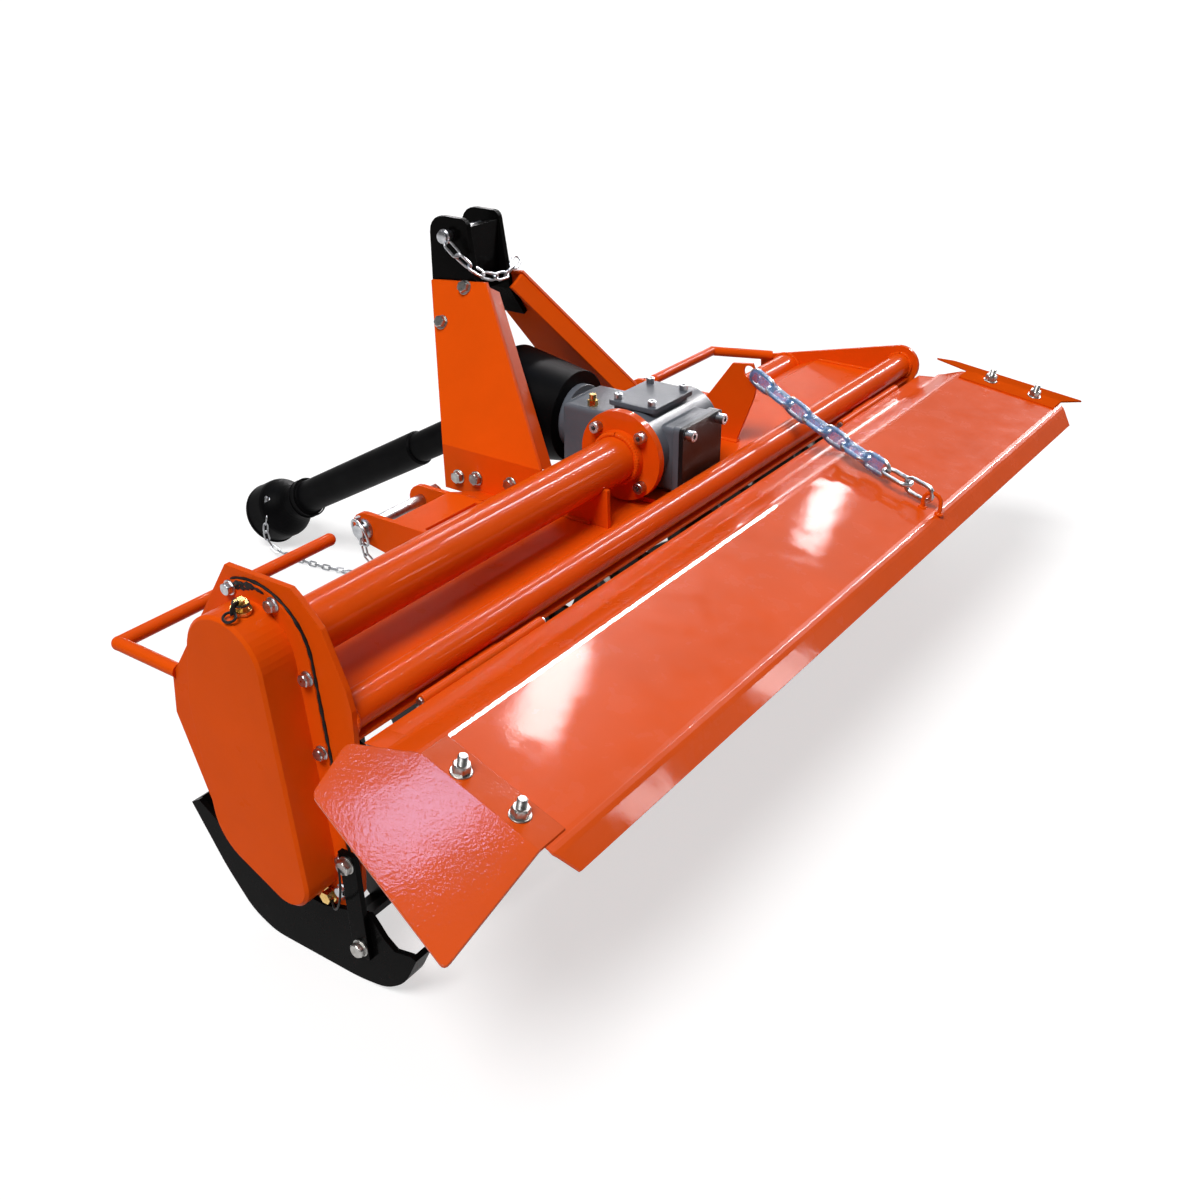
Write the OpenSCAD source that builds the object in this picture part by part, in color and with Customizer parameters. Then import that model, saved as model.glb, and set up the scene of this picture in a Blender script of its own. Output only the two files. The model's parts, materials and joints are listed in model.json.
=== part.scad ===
// Three-point-hitch rotary tiller (rotavator) with a chain-driven rotor under a sheet hood.
// Working frame: X to the right, Y towards the tractor with 0 over the rotor axle, Z up from the floor.

/* [Main frame] */
// Width over the outer faces of the two side plates
plate_span = 1644; // [1300:1:2000]
// Thickness of the side plates
plate_t = 8; // [6:0.5:10]
// Height of the hood's flat top
hood_z = 377; // [370:1:390]
// Thickness of the hood sheet
hood_t = 4; // [3:0.5:5]
// Place where the hood bends down to the front tube
hood_bend_y = 75; // [50:1:90]
// Radius of the front tube
front_tube_r = 30; // [25:0.5:32]
// Place of the front tube ahead of the rotor axle
front_tube_y = 147; // [144:1:160]
// Height of the front tube
front_tube_z = 347; // [340:1:355]
// Radius of the rear tube
rear_tube_r = 24; // [20:0.5:25]
// Place of the rear tube behind the rotor axle
rear_tube_y = -111; // [-113:1:-105]
// Length of the skids' flat sole
sole_len = 158; // [140:1:170]
// Place of the middle of the skids' flat sole
sole_y = -31; // [-36:1:-26]
// Width of the skids' sole
sole_w = 30; // [24:1:32]
// Thickness of the skids
skid_t = 8; // [6:0.5:10]
// Place of the front guard rails
guard_y = 288; // [270:1:320]
// Height of the front guard rails
guard_z = 380; // [370:1:390]
// Length of the left guard rail
guard_left_len = 395; // [300:1:450]
// Gap between the right guard rail and the hitch bracket
guard_gap = 28; // [15:1:60]
// Radius of the guard rails
guard_r = 10; // [8:0.5:12]

/* [Drive] */
// Place of the drive tube's axis
drive_y = 4; // [0:1:10]
// Height of the drive tube's axis
drive_z = 457; // [454:1:460]
// Radius of the drive tube
drive_r = 38; // [34:0.5:42]
// Radius of the drive tube's bolted flange
drive_flange_r = 76; // [64:0.5:77]
// Thickness of the drive tube's bolted flange
drive_flange_t = 14; // [10:0.5:18]
// Place of the gearbox and hitch to the right of the middle
gearbox_x = 64; // [40:1:80]
// Width of the gearbox over its side bosses
gearbox_w = 198; // [180:1:210]
// Back of the gearbox housing
gearbox_back_y = -76; // [-80:1:-70]
// Front of the gearbox housing
gearbox_front_y = 157; // [150:1:162]
// Height of the gearbox housing
gearbox_h = 134; // [125:1:140]
// Width of the gearbox covers
cover_w = 124; // [110:1:135]
// Thickness of the gearbox's top cover
cover_t = 8; // [6:0.5:12]
// Thickness of the gearbox's rear cover
rear_cover_t = 8; // [5:0.5:10]
// Depth of the gearbox's top cover
top_cover_d = 92; // [80:1:110]
// Thickness of the saddle under the gearbox
saddle_t = 8; // [6:0.5:12]
// Depth of the chain case
case_depth = 60; // [50:1:75]
// Width of the chain case's bolted rim
case_rim_w = 24; // [18:0.5:28]
// Thickness of the chain case's bolted rim
case_rim_t = 5; // [4:0.5:8]
// Rounding of the chain case's face
case_round = 4; // [3:0.5:14]

/* [Rotor] */
// Height of the rotor's axle
axle_z = 188; // [186:0.5:190]
// Radius of the tine tips
tine_r = 174; // [165:0.5:176]
// Radius of the rotor's tube
rotor_tube_r = 38; // [32:0.5:42]
// Radius of the rotor's stub axles
stub_r = 25; // [18:0.5:30]
// Running clearance of the stub axles and of the pivots
running_gap = 0.05; // [0.02:0.01:0.1]
// Radius of the tine flanges
tine_flange_r = 82; // [75:0.5:90]
// Thickness of the tine flanges
tine_flange_t = 8; // [6:0.5:12]
// Number of tine flanges
tine_flanges = 7; // [5:1:7]
// Thickness of a tine
tine_t = 8; // [6:0.5:10]
// Width of a tine's leg
tine_w = 42; // [34:1:48]
// Length of a tine's foot
tine_foot = 84; // [60:1:90]

/* [Tailgate] */
// Thickness of the tailgate sheet
tail_t = 3; // [2:0.5:4]
// Overhang of the tailgate past each side plate
tail_overhang = 23; // [15:1:40]
// Place of the hinge
hinge_y = -147; // [-150:1:-145]
// Height of the hinge
hinge_z = 385; // [383:1:387]
// Radius of the hinge barrels
barrel_r = 8; // [7:0.5:9]
// Radius of the hinge pins
hinge_pin_r = 5; // [4:0.5:5.5]
// Middle of each hinge from the middle of the frame
hinge_x = 590; // [450:1:640]
// Length of each hinge
hinge_len = 248; // [180:1:260]
// Thickness of the flap sheet
flap_t = 3; // [2:0.5:4]
// Reach of the flaps to each side
flap_reach = 1015; // [1000:1:1100]
// Width of the flaps' bolted flange
flap_flange_w = 46; // [40:1:60]

/* [Hitch] */
// Lean of the mast plates
mast_lean = 27.7; // [24:0.1:29]
// Distance between the mast plates' feet
mast_foot_w = 368; // [360:1:380]
// Thickness of the mast plates
mast_t = 6; // [5:0.5:8]
// Height of the bend between a mast plate and its foot
mast_bend_z = 430; // [425:1:440]
// Thickness of the top clevis
clevis_t = 10; // [8:0.5:12]
// Radius of the top link pin
top_pin_r = 9.5; // [9:0.1:12.5]
// Distance between the middles of the lower hitch brackets
hitch_span = 670; // [640:1:700]
// Width of each lower hitch bracket over its ears
hitch_w = 146; // [120:1:170]
// Thickness of the hitch ears
ear_t = 10; // [8:0.5:14]
// Radius of the lower hitch pins
hitch_pin_r = 11; // [10:0.1:14]

/* [Drive shaft] */
// Length from the joint to the bell's mouth
shaft_len = 816; // [780:1:860]
// Place of the joint ahead of the rotor axle
joint_y = 293; // [285:1:300]
// Radius of the inner guard tube
guard_inner_r = 29.5; // [28:0.5:30]
// Radius of the outer guard tube
guard_outer_r = 34; // [33:0.5:38]
// Radius of the bell's mouth
bell_r = 64; // [60:0.5:75]
// Length of the bell
bell_len = 112; // [100:1:120]
// Radius of the splined bore in the end yoke
spline_r = 17.5; // [15:0.1:19]
// Depth of the splined bore
spline_len = 60; // [45:1:70]

/* [Lift chain] */
// Thickness of the chain's wire
wire_d = 8; // [7:0.5:9]
// Width of a chain link
link_w = 30; // [29:0.5:32]
// Number of chain links
links = 9; // [7:2:11]
// Sag of the chain
chain_sag = 10; // [5:1:14]
// Number of links inside the sleeve
sleeve_links = 6; // [4:1:7]

/* [Hidden] */
$fn = 48;

// Colours
orange = [0.93, 0.29, 0.04];
black = [0.05, 0.05, 0.05];
slate = [0.25, 0.27, 0.29];
zinc = [0.75, 0.75, 0.72];
brass = [0.75, 0.55, 0.2];
blue = [0.2, 0.4, 0.8, 0.6];

// Clearance between welded or bolted neighbours
seat = 0.2;
left = -1;
right = 1;
x_out = plate_span / 2;
x_in = x_out - plate_t;
rear_tube_z = hood_z + rear_tube_r + seat;

// Points, arcs and sheets in the side view
function unit(v) = v / norm(v);
function normal(a, b) = let (d = unit(b - a)) [-d[1], d[0]];
function miter(p, i) =
    i == 0 ? normal(p[0], p[1])
    : i == len(p) - 1 ? normal(p[i - 1], p[i])
    : let (n = normal(p[i - 1], p[i]) + normal(p[i], p[i + 1])) 2 * n / (n * n);
function strip(p, t) = concat(p, [for (i = [len(p) - 1:-1:0]) p[i] + t * miter(p, i)]);
function arc(c, r, a0, a1, n) = [for (i = [0:n]) let (a = a0 + (a1 - a0) * i / n) c + r * [cos(a), sin(a)]];

// An outline with each corner rounded by a curve that starts at distance r from it
function rounded(p, r, n = 4) = [for (i = [0:len(p) - 1], k = [0:n])
    let (a = p[(i + len(p) - 1) % len(p)], b = p[i], c = p[(i + 1) % len(p)], t = k / n,
        from = b + min(r, norm(a - b) / 2) * unit(a - b), to = b + min(r, norm(c - b) / 2) * unit(c - b))
    (1 - t) * (1 - t) * from + 2 * t * (1 - t) * b + t * t * to];
// A polyline whose inner corners are rounded the same way
function bent(p, r, n = 4) = concat([p[0]], [for (i = [1:len(p) - 2], k = [0:n])
    let (t = k / n, from = p[i] + r * unit(p[i - 1] - p[i]), to = p[i] + r * unit(p[i + 1] - p[i]))
    (1 - t) * (1 - t) * from + 2 * t * (1 - t) * p[i] + t * t * to], [p[len(p) - 1]]);
function box_outline(w, h) = [[-w / 2, -h / 2], [w / 2, -h / 2], [w / 2, h / 2], [-w / 2, h / 2]];

// An outline drawn in the side view, carried along X
module along_x(x0, x1) translate([x0, 0, 0]) rotate([90, 0, 90]) linear_extrude(x1 - x0) children();
// A bent sheet, given by its polyline in the side view
module sheet_x(p, t, x0, x1) along_x(x0, x1) polygon(strip(p, t));
// A round bar along X
module rod_x(r, x0, x1, y, z) translate([x0, y, z]) rotate([0, 90, 0]) cylinder(r = r, h = x1 - x0);
// A round bar between two points
module rod(p, q, r) {
    d = q - p;
    turn = atan2(d[1], d[0]);
    lean = atan2(norm([d[0], d[1]]), d[2]);
    translate(p) rotate([0, lean, turn]) cylinder(r = r, h = norm(d));
}
// What is drawn for the left is mirrored for the right
module on_side(side) mirror([side == right ? 1 : 0, 0, 0]) children();
module on_mast(side) translate([gearbox_x, 0, 0]) on_side(side) children();

// Side plates
plate_rear_y = hinge_y + barrel_r + 2;
plate_low_z = 92;
left_outline = [[-55, 561], [56, 561], [103, 491], [front_tube_y + 46, 360], [front_tube_y + 52, 300],
    [150, 165], [105, plate_low_z], [-88, plate_low_z], [-123, 143], [plate_rear_y, 300], [plate_rear_y, 420],
    [-131, 446], [-100, 520], [-66, 553]];
right_nose_r = 40;
right_outline = concat(
    [[front_tube_y + 65, 364], [front_tube_y + 60, 300], [150, 165], [105, plate_low_z], [-88, plate_low_z],
        [-123, 143], [plate_rear_y + 6, 300]],
    arc([rear_tube_y, rear_tube_z], right_nose_r, 215, 70, 10));

// Skids: a bent sole under an upright web, with a hooked tail
sole_front = sole_y + sole_len / 2;
sole_back = sole_y - sole_len / 2;
skid_bend = 18;
skid_tail = [sole_back - 106, 82];
skid_nose = [sole_front + 140, 161];
sole_line = bent([skid_tail, [sole_back - 84, 34], [sole_back - 50, 8], [sole_back, 0], [sole_front, 0],
    [sole_front + 42, 20], [sole_front + 86, 74], skid_nose], skid_bend);
skid_web_z = plate_low_z + 6;
skid_web_top = [skid_nose + [-16, 10], [120, skid_web_z + 40], [90, skid_web_z], [-60, skid_web_z],
    [-100, skid_web_z + 12], [-140, skid_web_z + 22], [-152, skid_web_z + 8], [-163, skid_web_z - 6],
    [-180, skid_web_z - 18], skid_tail + [8, 4]];

// Tailgate: the sheet's underside from the hinge to the lip
hinge_rise = 5.7;
sheet_clear = barrel_r + 3;
hinge_at = [hinge_y, hinge_z];
leaf_dir = [-cos(hinge_rise), sin(hinge_rise)];
tail_x = x_out + tail_overhang;
crease = hinge_at + 50 * leaf_dir;
ridge = hinge_at + [-97, 21.5];
low_bend = hinge_at + [-297, -16.5];
lip_end = hinge_at + [-321, -45];
tail_bend = 9;
tail_line = bent([hinge_at + sheet_clear * leaf_dir, crease, ridge, low_bend, lip_end], tail_bend, 3);
tail_taper = 19;
tail_slope = (ridge[1] - low_bend[1]) / (ridge[0] - low_bend[0]);
tail_top_rise = tail_t * sqrt(1 + tail_slope * tail_slope);
function tail_top(y) = ridge[1] + tail_top_rise + (y - ridge[0]) * tail_slope;
tail_corner_y = -192;
tail_corner_x = x_in - 24;
lip_cut = 27;

// Drive shaft: it leans down until the bell's rim meets the floor
shaft_drop = asin(drive_z / norm([shaft_len, bell_r])) - atan2(bell_r, shaft_len);
joint_at = [gearbox_x, joint_y, drive_z];
module on_shaft() translate(joint_at) rotate([-90 - shaft_drop, 0, 0]) children();

// The frame's origin lies under the middle of the whole machine's box
front_reach = joint_y + shaft_len * cos(shaft_drop) + bell_r * sin(shaft_drop);
rear_reach = lip_end[0] - tail_t * normal(low_bend, lip_end)[0];
mid_y = (front_reach + rear_reach) / 2;
module placed() translate([0, -mid_y, 0]) children();

// Main frame
hood_line = [[hinge_y + 15, hood_z], [hood_bend_y, hood_z], [front_tube_y, front_tube_z]];
module front_tube_bar(grow) rod_x(front_tube_r + grow, -x_in, x_in, front_tube_y, front_tube_z);

module hood() color(orange) placed() difference() {
    sheet_x(hood_line, -hood_t, -x_in, x_in);
    front_tube_bar(seat);
}

module front_tube() color(orange) placed() front_tube_bar(0);

module rear_tube() color(orange) placed() rod_x(rear_tube_r, -x_in, x_in, rear_tube_y, rear_tube_z);

module side_plate(outline, x0) difference() {
    along_x(x0, x0 + plate_t) polygon(outline);
    rod_x(stub_r + running_gap, x0 - 1, x0 + plate_t + 1, 0, axle_z);
}

module side_plate_left() color(orange) placed() side_plate(left_outline, -x_out);

module side_plate_right() color(orange) placed() side_plate(right_outline, x_in);

module skid(side) on_side(side) {
    sheet_x(sole_line, skid_t, -x_out - skid_t, -x_out - skid_t + sole_w);
    along_x(-x_out - skid_t, -x_out) polygon(concat(sole_line, skid_web_top));
}

module skid_left() color(black) placed() skid(left);

module skid_right() color(black) placed() skid(right);

brace_top = [-118, 196];
brace_low = [-128, 66];
module skid_brace(side) on_side(side) {
    x0 = -x_out - 2 * skid_t - seat;
    along_x(x0, x0 + skid_t) polygon(strip([brace_low + [14, -16], brace_top + [14, 16]], 28));
    rod_x(9, x0 + skid_t, -x_out - skid_t - seat / 2, brace_low[0], brace_low[1]);
}

module skid_brace_left() color(black) placed() skid_brace(left);

module skid_brace_right() color(black) placed() skid_brace(right);

guard_end = 8;
elbow_rise = 0.3;
guard_right_end = gearbox_x + hitch_span / 2 + hitch_w / 2 + guard_gap;
guard_right_corner = x_out - 90;
guard_leg_y = front_tube_y + front_tube_r + guard_r;
module guard(outline, inner_x, corner_x, plate_x) difference() {
    corner = [corner_x, guard_y, guard_z];
    union() {
        rod([inner_x, guard_y, guard_z], corner, guard_r);
        translate([inner_x, guard_y, guard_z]) sphere(r = guard_r + elbow_rise);
        translate(corner) sphere(r = guard_r + elbow_rise);
        rod(corner, [plate_x, guard_leg_y, guard_z - 14], guard_r);
    }
    along_x(plate_x - plate_t / 2 - seat, plate_x + plate_t / 2 + seat) polygon(outline);
}

module guard_left() color(orange) placed()
    guard(left_outline, -x_out - guard_end + guard_left_len, -x_out - guard_end, -x_out + plate_t / 2);

module guard_right() color(orange) placed()
    guard(right_outline, guard_right_end, guard_right_corner, x_out - plate_t / 2);

module bearing_hub() color(orange) placed() translate([x_out, 0, axle_z]) rotate([0, 90, 0]) {
    cylinder(r = 62, h = 12);
    cylinder(r = 42, h = 34);
}

// Drive line
case_top = [drive_y + 6, drive_z + 5];
case_bulge = [drive_y + 9, drive_z - 72];
case_mid = [-3, axle_z + 46];
case_low = [-50, axle_z - 20];
case_top_r = 66;
case_bulge_r = 76;
case_mid_r = 76;
case_low_r = 38;
module case_outline(grow) hull() {
    translate(case_top) circle(r = case_top_r + grow);
    translate(case_bulge) circle(r = case_bulge_r + grow);
    translate(case_mid) circle(r = case_mid_r + grow);
    translate(case_low) circle(r = case_low_r + grow);
}

module from_left_plate(rise) translate([-x_out - rise, 0, 0]) mirror([1, 0, 0]) rotate([90, 0, 90])
    children();

module chain_case() color(orange) placed() {
    from_left_plate(0) linear_extrude(case_rim_t) case_outline(case_rim_w);
    from_left_plate(0) hull() {
        linear_extrude(case_depth - case_round) case_outline(0);
        linear_extrude(case_depth) case_outline(-case_round);
    }
}

// The filler stands on the case's top wall, the drain on its rim
filler_x = -x_out - case_depth / 2;
filler_lean = 9;
drain_r = 11;
drain_at = case_low + (case_low_r + drain_r + 1) * unit([-24, -44]);
module case_plugs() color(brass) placed() {
    translate([filler_x, case_top[0], case_top[1]]) rotate([filler_lean, 0, 0]) translate([0, 0,
        case_top_r + seat]) {
        cylinder(r = 13, h = 5);
        cylinder(r = 9, h = 14, $fn = 6);
        cylinder(r = 5, h = 18);
    }
    from_left_plate(case_rim_t) translate(drain_at) {
        cylinder(r = drain_r, h = 5);
        cylinder(r = drain_r - 2, h = 15, $fn = 6);
    }
}

gearbox_x0 = gearbox_x - gearbox_w / 2;
gearbox_low_z = hood_z + saddle_t;
gearbox_top_z = gearbox_low_z + gearbox_h;
collar_w = 12;
collar_rise = 7;
module drive_tube() color(orange) placed() {
    rod_x(drive_r, -x_in, gearbox_x0, drive_y, drive_z);
    rod_x(drive_r + collar_rise, gearbox_x0 - drive_flange_t - collar_w, gearbox_x0, drive_y, drive_z);
    rod_x(drive_flange_r, gearbox_x0 - drive_flange_t, gearbox_x0, drive_y, drive_z);
}

// Gearbox: a long neck towards the tractor and the back, side bosses and a pedestal for the top cover
neck_h = 120;
neck_round = 9;
pedestal_inset = 6;
boss_r = gearbox_top_z - drive_z - 2;
bolt_flange_t = 12;
neck_inset = 4;
front_boss_r = 58;
front_boss_t = 12;
module neck_outline(grow) translate([gearbox_x, gearbox_low_z + neck_h / 2])
    polygon(rounded(box_outline(cover_w + 2 * grow, neck_h + 2 * grow), neck_round));
module along_neck(y0, y1) translate([0, y1, 0]) rotate([90, 0, 0]) linear_extrude(y1 - y0) children();
module top_outline(grow) polygon(rounded(box_outline(cover_w + 2 * grow, top_cover_d + 2 * grow),
    neck_round));

module gearbox_housing() color(slate) placed() {
    along_neck(gearbox_back_y + bolt_flange_t, gearbox_front_y) neck_outline(-neck_inset);
    along_neck(gearbox_back_y, gearbox_back_y + bolt_flange_t) neck_outline(0);
    rod_x(boss_r, gearbox_x0, gearbox_x0 + gearbox_w, drive_y, drive_z);
    translate([gearbox_x, drive_y + 14, gearbox_low_z + neck_h / 2])
        linear_extrude(gearbox_h - neck_h / 2) top_outline(-pedestal_inset);
    translate([gearbox_x, gearbox_front_y, drive_z]) rotate([-90, 0, 0]) cylinder(r = front_boss_r,
        h = front_boss_t);
}

module gearbox_top_cover() color(slate) placed()
    translate([gearbox_x, drive_y + 14, gearbox_top_z]) linear_extrude(cover_t) top_outline(0);

module gearbox_rear_cover() color(slate) placed()
    along_neck(gearbox_back_y - rear_cover_t, gearbox_back_y) neck_outline(0);

module gearbox_saddle() color(orange) placed()
    translate([gearbox_x0 + 8, gearbox_back_y + 12, hood_z])
        cube([gearbox_w - 16, hood_bend_y - gearbox_back_y - 12, saddle_t]);

breather_at = [gearbox_x - cover_w / 2 + 22, gearbox_front_y - 48, gearbox_low_z + neck_h - neck_inset];
module breather() color(brass) placed() translate(breather_at) {
    cylinder(r = 9, h = 10, $fn = 6);
    cylinder(r = 6, h = 20);
}

tube_saddle_x = -150;
module tube_saddle() color(orange) placed() difference() {
    along_x(tube_saddle_x, tube_saddle_x + plate_t)
        polygon([[-42, hood_z], [hood_bend_y, hood_z], [drive_y + 44, drive_z - 16], [drive_y - 44,
            drive_z - 16]]);
    rod_x(drive_r + seat, tube_saddle_x - 1, tube_saddle_x + plate_t + 1, drive_y, drive_z);
}

gusset_x = 295;
gusset_t = 5;
hook_at = [-40, 514];
hook_r = 11;
module chain_gusset() color(orange) placed() difference() {
    along_x(gusset_x, gusset_x + gusset_t)
        polygon([[-20, hood_z], [hood_bend_y, hood_z], [56, 436], [-6, 524], [-46, 530], [-58, 505],
            [-52, 466]]);
    rod_x(hook_r, gusset_x - 1, gusset_x + gusset_t + 1, hook_at[0], hook_at[1]);
}

// Mast and hitch
mast_rise = 270;
mast_flange_w = 42;
mast_low_z = 350;
mast_back_y = 114;
mast_front_y = 324;
mast_top_back = [322, mast_rise + 12];
mast_top_front = [440, mast_rise];
// The plate in the front view: an upright foot, bent in above it
mast_line = [[-mast_foot_w / 2, mast_low_z], [-mast_foot_w / 2, mast_bend_z],
    [-mast_foot_w / 2, mast_bend_z] + 300 * [sin(mast_lean), cos(mast_lean)]];
function mast_side(p) = [p[0], mast_bend_z + p[1] * cos(mast_lean)];
mast_outline = [[mast_back_y, mast_bend_z], [mast_back_y, 396], [front_tube_y, mast_low_z],
    [mast_front_y - 2, mast_low_z], [mast_front_y, mast_bend_z], mast_side(mast_top_front),
        mast_side(mast_top_back)];
module mast_slope() translate([-mast_foot_w / 2, 0, mast_bend_z]) rotate([0, mast_lean, 0]) children();

module mast_plate(side) on_mast(side) {
    difference() {
        intersection() {
            along_x(-mast_foot_w, 0) polygon(mast_outline);
            rotate([90, 0, 0]) translate([0, 0, -600]) linear_extrude(600) polygon(strip(mast_line, -mast_t));
        }
        rod_x(front_tube_r + seat, -mast_foot_w, 0, front_tube_y, front_tube_z);
    }
    mast_slope() along_x(mast_t / 2, mast_flange_w) polygon([[mast_back_y + 1, 3],
        [mast_back_y + 1 + mast_t, 3],
        mast_top_back + [mast_t - 1, -4], mast_top_back + [-1, -4]]);
}

module mast_plate_left() color(orange) placed() mast_plate(left);

module mast_plate_right() color(orange) placed() mast_plate(right);

clevis_x = 48;
clevis_z = mast_bend_z + mast_rise * cos(mast_lean) - 22;
top_pin_at = [403, 749];
clevis_top = 780;
clevis_back_y = 362;
clevis_low_y = 342;
clevis_corner = 14;
module clevis_ear() difference() {
    along_x(-clevis_x, -clevis_x + clevis_t)
        polygon(concat([[clevis_low_y, clevis_z], [446, clevis_z]], arc(top_pin_at + [13, 1], 30, 0, 90, 5),
            arc([clevis_back_y + clevis_corner, clevis_top - clevis_corner], clevis_corner, 90, 180, 4)));
    rod_x(top_pin_r + seat, -clevis_x - 1, 0, top_pin_at[0], top_pin_at[1]);
}

module top_clevis() color(black) placed() translate([gearbox_x, 0, 0]) {
    for (side = [left, right]) on_side(side) {
        clevis_ear();
        mast_slope() along_x(mast_t + seat, mast_t + seat + clevis_t)
            polygon([[345, 190], [395, 190], [430, mast_rise - 4], [358, mast_rise - 4]]);
    }
    translate([-clevis_x, clevis_back_y + 2, clevis_z + 6])
        cube([2 * clevis_x, clevis_t, clevis_top - clevis_corner - clevis_z - 6]);
}

module top_link_pin() color(zinc) placed()
    rod_x(top_pin_r, gearbox_x - clevis_x - 14, gearbox_x + clevis_x + 18, top_pin_at[0], top_pin_at[1]);

hitch_pin_at = [300, 362];
module hitch_ears() for (x = [-hitch_w / 2, hitch_w / 2 - ear_t])
    along_x(x, x + ear_t)
        polygon(concat([[front_tube_y - 10, 388], [front_tube_y, front_tube_z], [front_tube_y + 22, 318],
            [200, 318]],
            arc(hitch_pin_at, 26, -70, 90, 8)));

module hitch_bracket(side) translate([gearbox_x + side * hitch_span / 2, 0, 0]) difference() {
    union() {
        hitch_ears();
        translate([-hitch_w / 2, 180, 380]) cube([hitch_w, 64, 8]);
    }
    rod_x(hitch_pin_r + seat, -hitch_w, hitch_w, hitch_pin_at[0], hitch_pin_at[1]);
    rod_x(front_tube_r + seat, -hitch_w, hitch_w, front_tube_y, front_tube_z);
}

module hitch_bracket_left() color(orange) placed() hitch_bracket(left);

module hitch_bracket_right() color(orange) placed() hitch_bracket(right);

module hitch_pin(side) translate([gearbox_x + side * hitch_span / 2, 0, 0])
    rod_x(hitch_pin_r, -hitch_w / 2 - 18, hitch_w / 2 + 18, hitch_pin_at[0], hitch_pin_at[1]);

module hitch_pin_left() color(zinc) placed() hitch_pin(left);

module hitch_pin_right() color(zinc) placed() hitch_pin(right);

// Rotor
flange_first = x_in - 110;
flange_pitch = 2 * flange_first / (tine_flanges - 1);
tines_per_flange = 6;
tine_stagger = 17;
tine_sweep = 16;
tine_root_r = 46;
shaft_end_gap = 6;

module rotor_shaft() color(black) placed() {
    rod_x(rotor_tube_r, -x_in + shaft_end_gap, x_in - shaft_end_gap, 0, axle_z);
    rod_x(stub_r, -x_out + 0.5, x_out - 0.5, 0, axle_z);
    for (k = [0:tine_flanges - 1])
        rod_x(tine_flange_r, -flange_first + k * flange_pitch - tine_flange_t / 2,
            -flange_first + k * flange_pitch + tine_flange_t / 2, 0, axle_z);
}

// A tine's leg sweeps back as it goes out
function polar(r, a) = r * [sin(a), cos(a)];
function leg_half(r) = tine_w / 2 / r * 180 / PI;
function leg_point(t, s) = let (r = tine_root_r + (tine_r - tine_root_r) * t)
    polar(r, tine_sweep * t * t + s * leg_half(r));
leg_steps = 5;
leg_outline = concat([for (i = [0:leg_steps]) leg_point(i / leg_steps, -1)],
    [for (i = [leg_steps:-1:0]) leg_point(i / leg_steps, 1)]);
foot_spread = leg_half(tine_r);
foot_outline = concat(
    [for (s = [-1, 0, 1]) polar(tine_r, tine_sweep + s * foot_spread)],
    [for (s = [1, 0, -1]) polar(tine_r - tine_t, tine_sweep + s * foot_spread)]);

module tine() {
    along_x(tine_flange_t / 2, tine_flange_t / 2 + tine_t) difference() {
        polygon(leg_outline);
        circle(r = rotor_tube_r + seat);
    }
    along_x(tine_flange_t / 2, tine_flange_t / 2 + tine_foot) polygon(foot_outline);
}

module tines() color(black) placed() for (k = [0:tine_flanges - 1], i = [0:tines_per_flange - 1])
    translate([-flange_first + k * flange_pitch, 0, axle_z])
        rotate([i * 360 / tines_per_flange + k * tine_stagger, 0, 0])
            on_side(i % 2 == 0 ? left : right) tine();

// Tailgate and its hinge
knuckle = hinge_len / 3;
knuckle_gap = 0.5;
leaf_len = 36;
leaf_t = 4;
module barrel(i) difference() {
    translate([-hinge_len / 2 + i * knuckle + knuckle_gap, 0, 0]) children();
    rod_x(hinge_pin_r + running_gap, -hinge_len, hinge_len, 0, 0);
}

module at_hinge() for (side = [left, right]) translate([side * hinge_x, hinge_y, hinge_z]) children();

module hinge_straps() color(orange) placed() at_hinge() barrel(1) {
    rod_x(barrel_r, 0, knuckle - 2 * knuckle_gap, 0, 0);
    translate([0, 0, hood_z - hood_t - hinge_z]) cube([knuckle - 2 * knuckle_gap, 15,
        hinge_z - hood_z + hood_t]);
}

module hinge_pins() color(zinc) placed() at_hinge() rod_x(hinge_pin_r, -hinge_len / 2 - 4,
    hinge_len / 2 + 4, 0, 0);

module tailgate_barrels() color(orange) placed() at_hinge() for (i = [0, 2]) barrel(i) {
    rod_x(barrel_r, 0, knuckle - 2 * knuckle_gap, 0, 0);
    rotate([-hinge_rise, 0, 0]) translate([1, -leaf_len, -leaf_t])
        cube([knuckle - 2 * knuckle_gap - 2, leaf_len - hinge_pin_r - 1, leaf_t]);
}

module tailgate_panel() color(orange) placed() difference() {
    sheet_x(tail_line, -tail_t, -tail_x, tail_x);
    for (side = [left, right]) on_side(side) {
        translate([-tail_x - 1, tail_corner_y, hinge_z - 40]) cube([tail_x + 1 - tail_corner_x, 200, 80]);
        translate([0, 0, lip_end[1] - 20]) linear_extrude(120)
            polygon([[-tail_x - 1, 0], [-tail_x + tail_taper, 0], [-tail_x + tail_taper, ridge[0]],
                [-tail_x, low_bend[0]], [-tail_x - 1, low_bend[0]]]);
        translate([0, 0, lip_end[1] - 20]) linear_extrude(60)
            polygon([[-tail_x - 1, low_bend[0] - 2], [-tail_x - 1, lip_end[0] - 10],
                [-tail_x + lip_cut, lip_end[0] - 10], [-tail_x, low_bend[0] - 2]]);
    }
}

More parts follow.
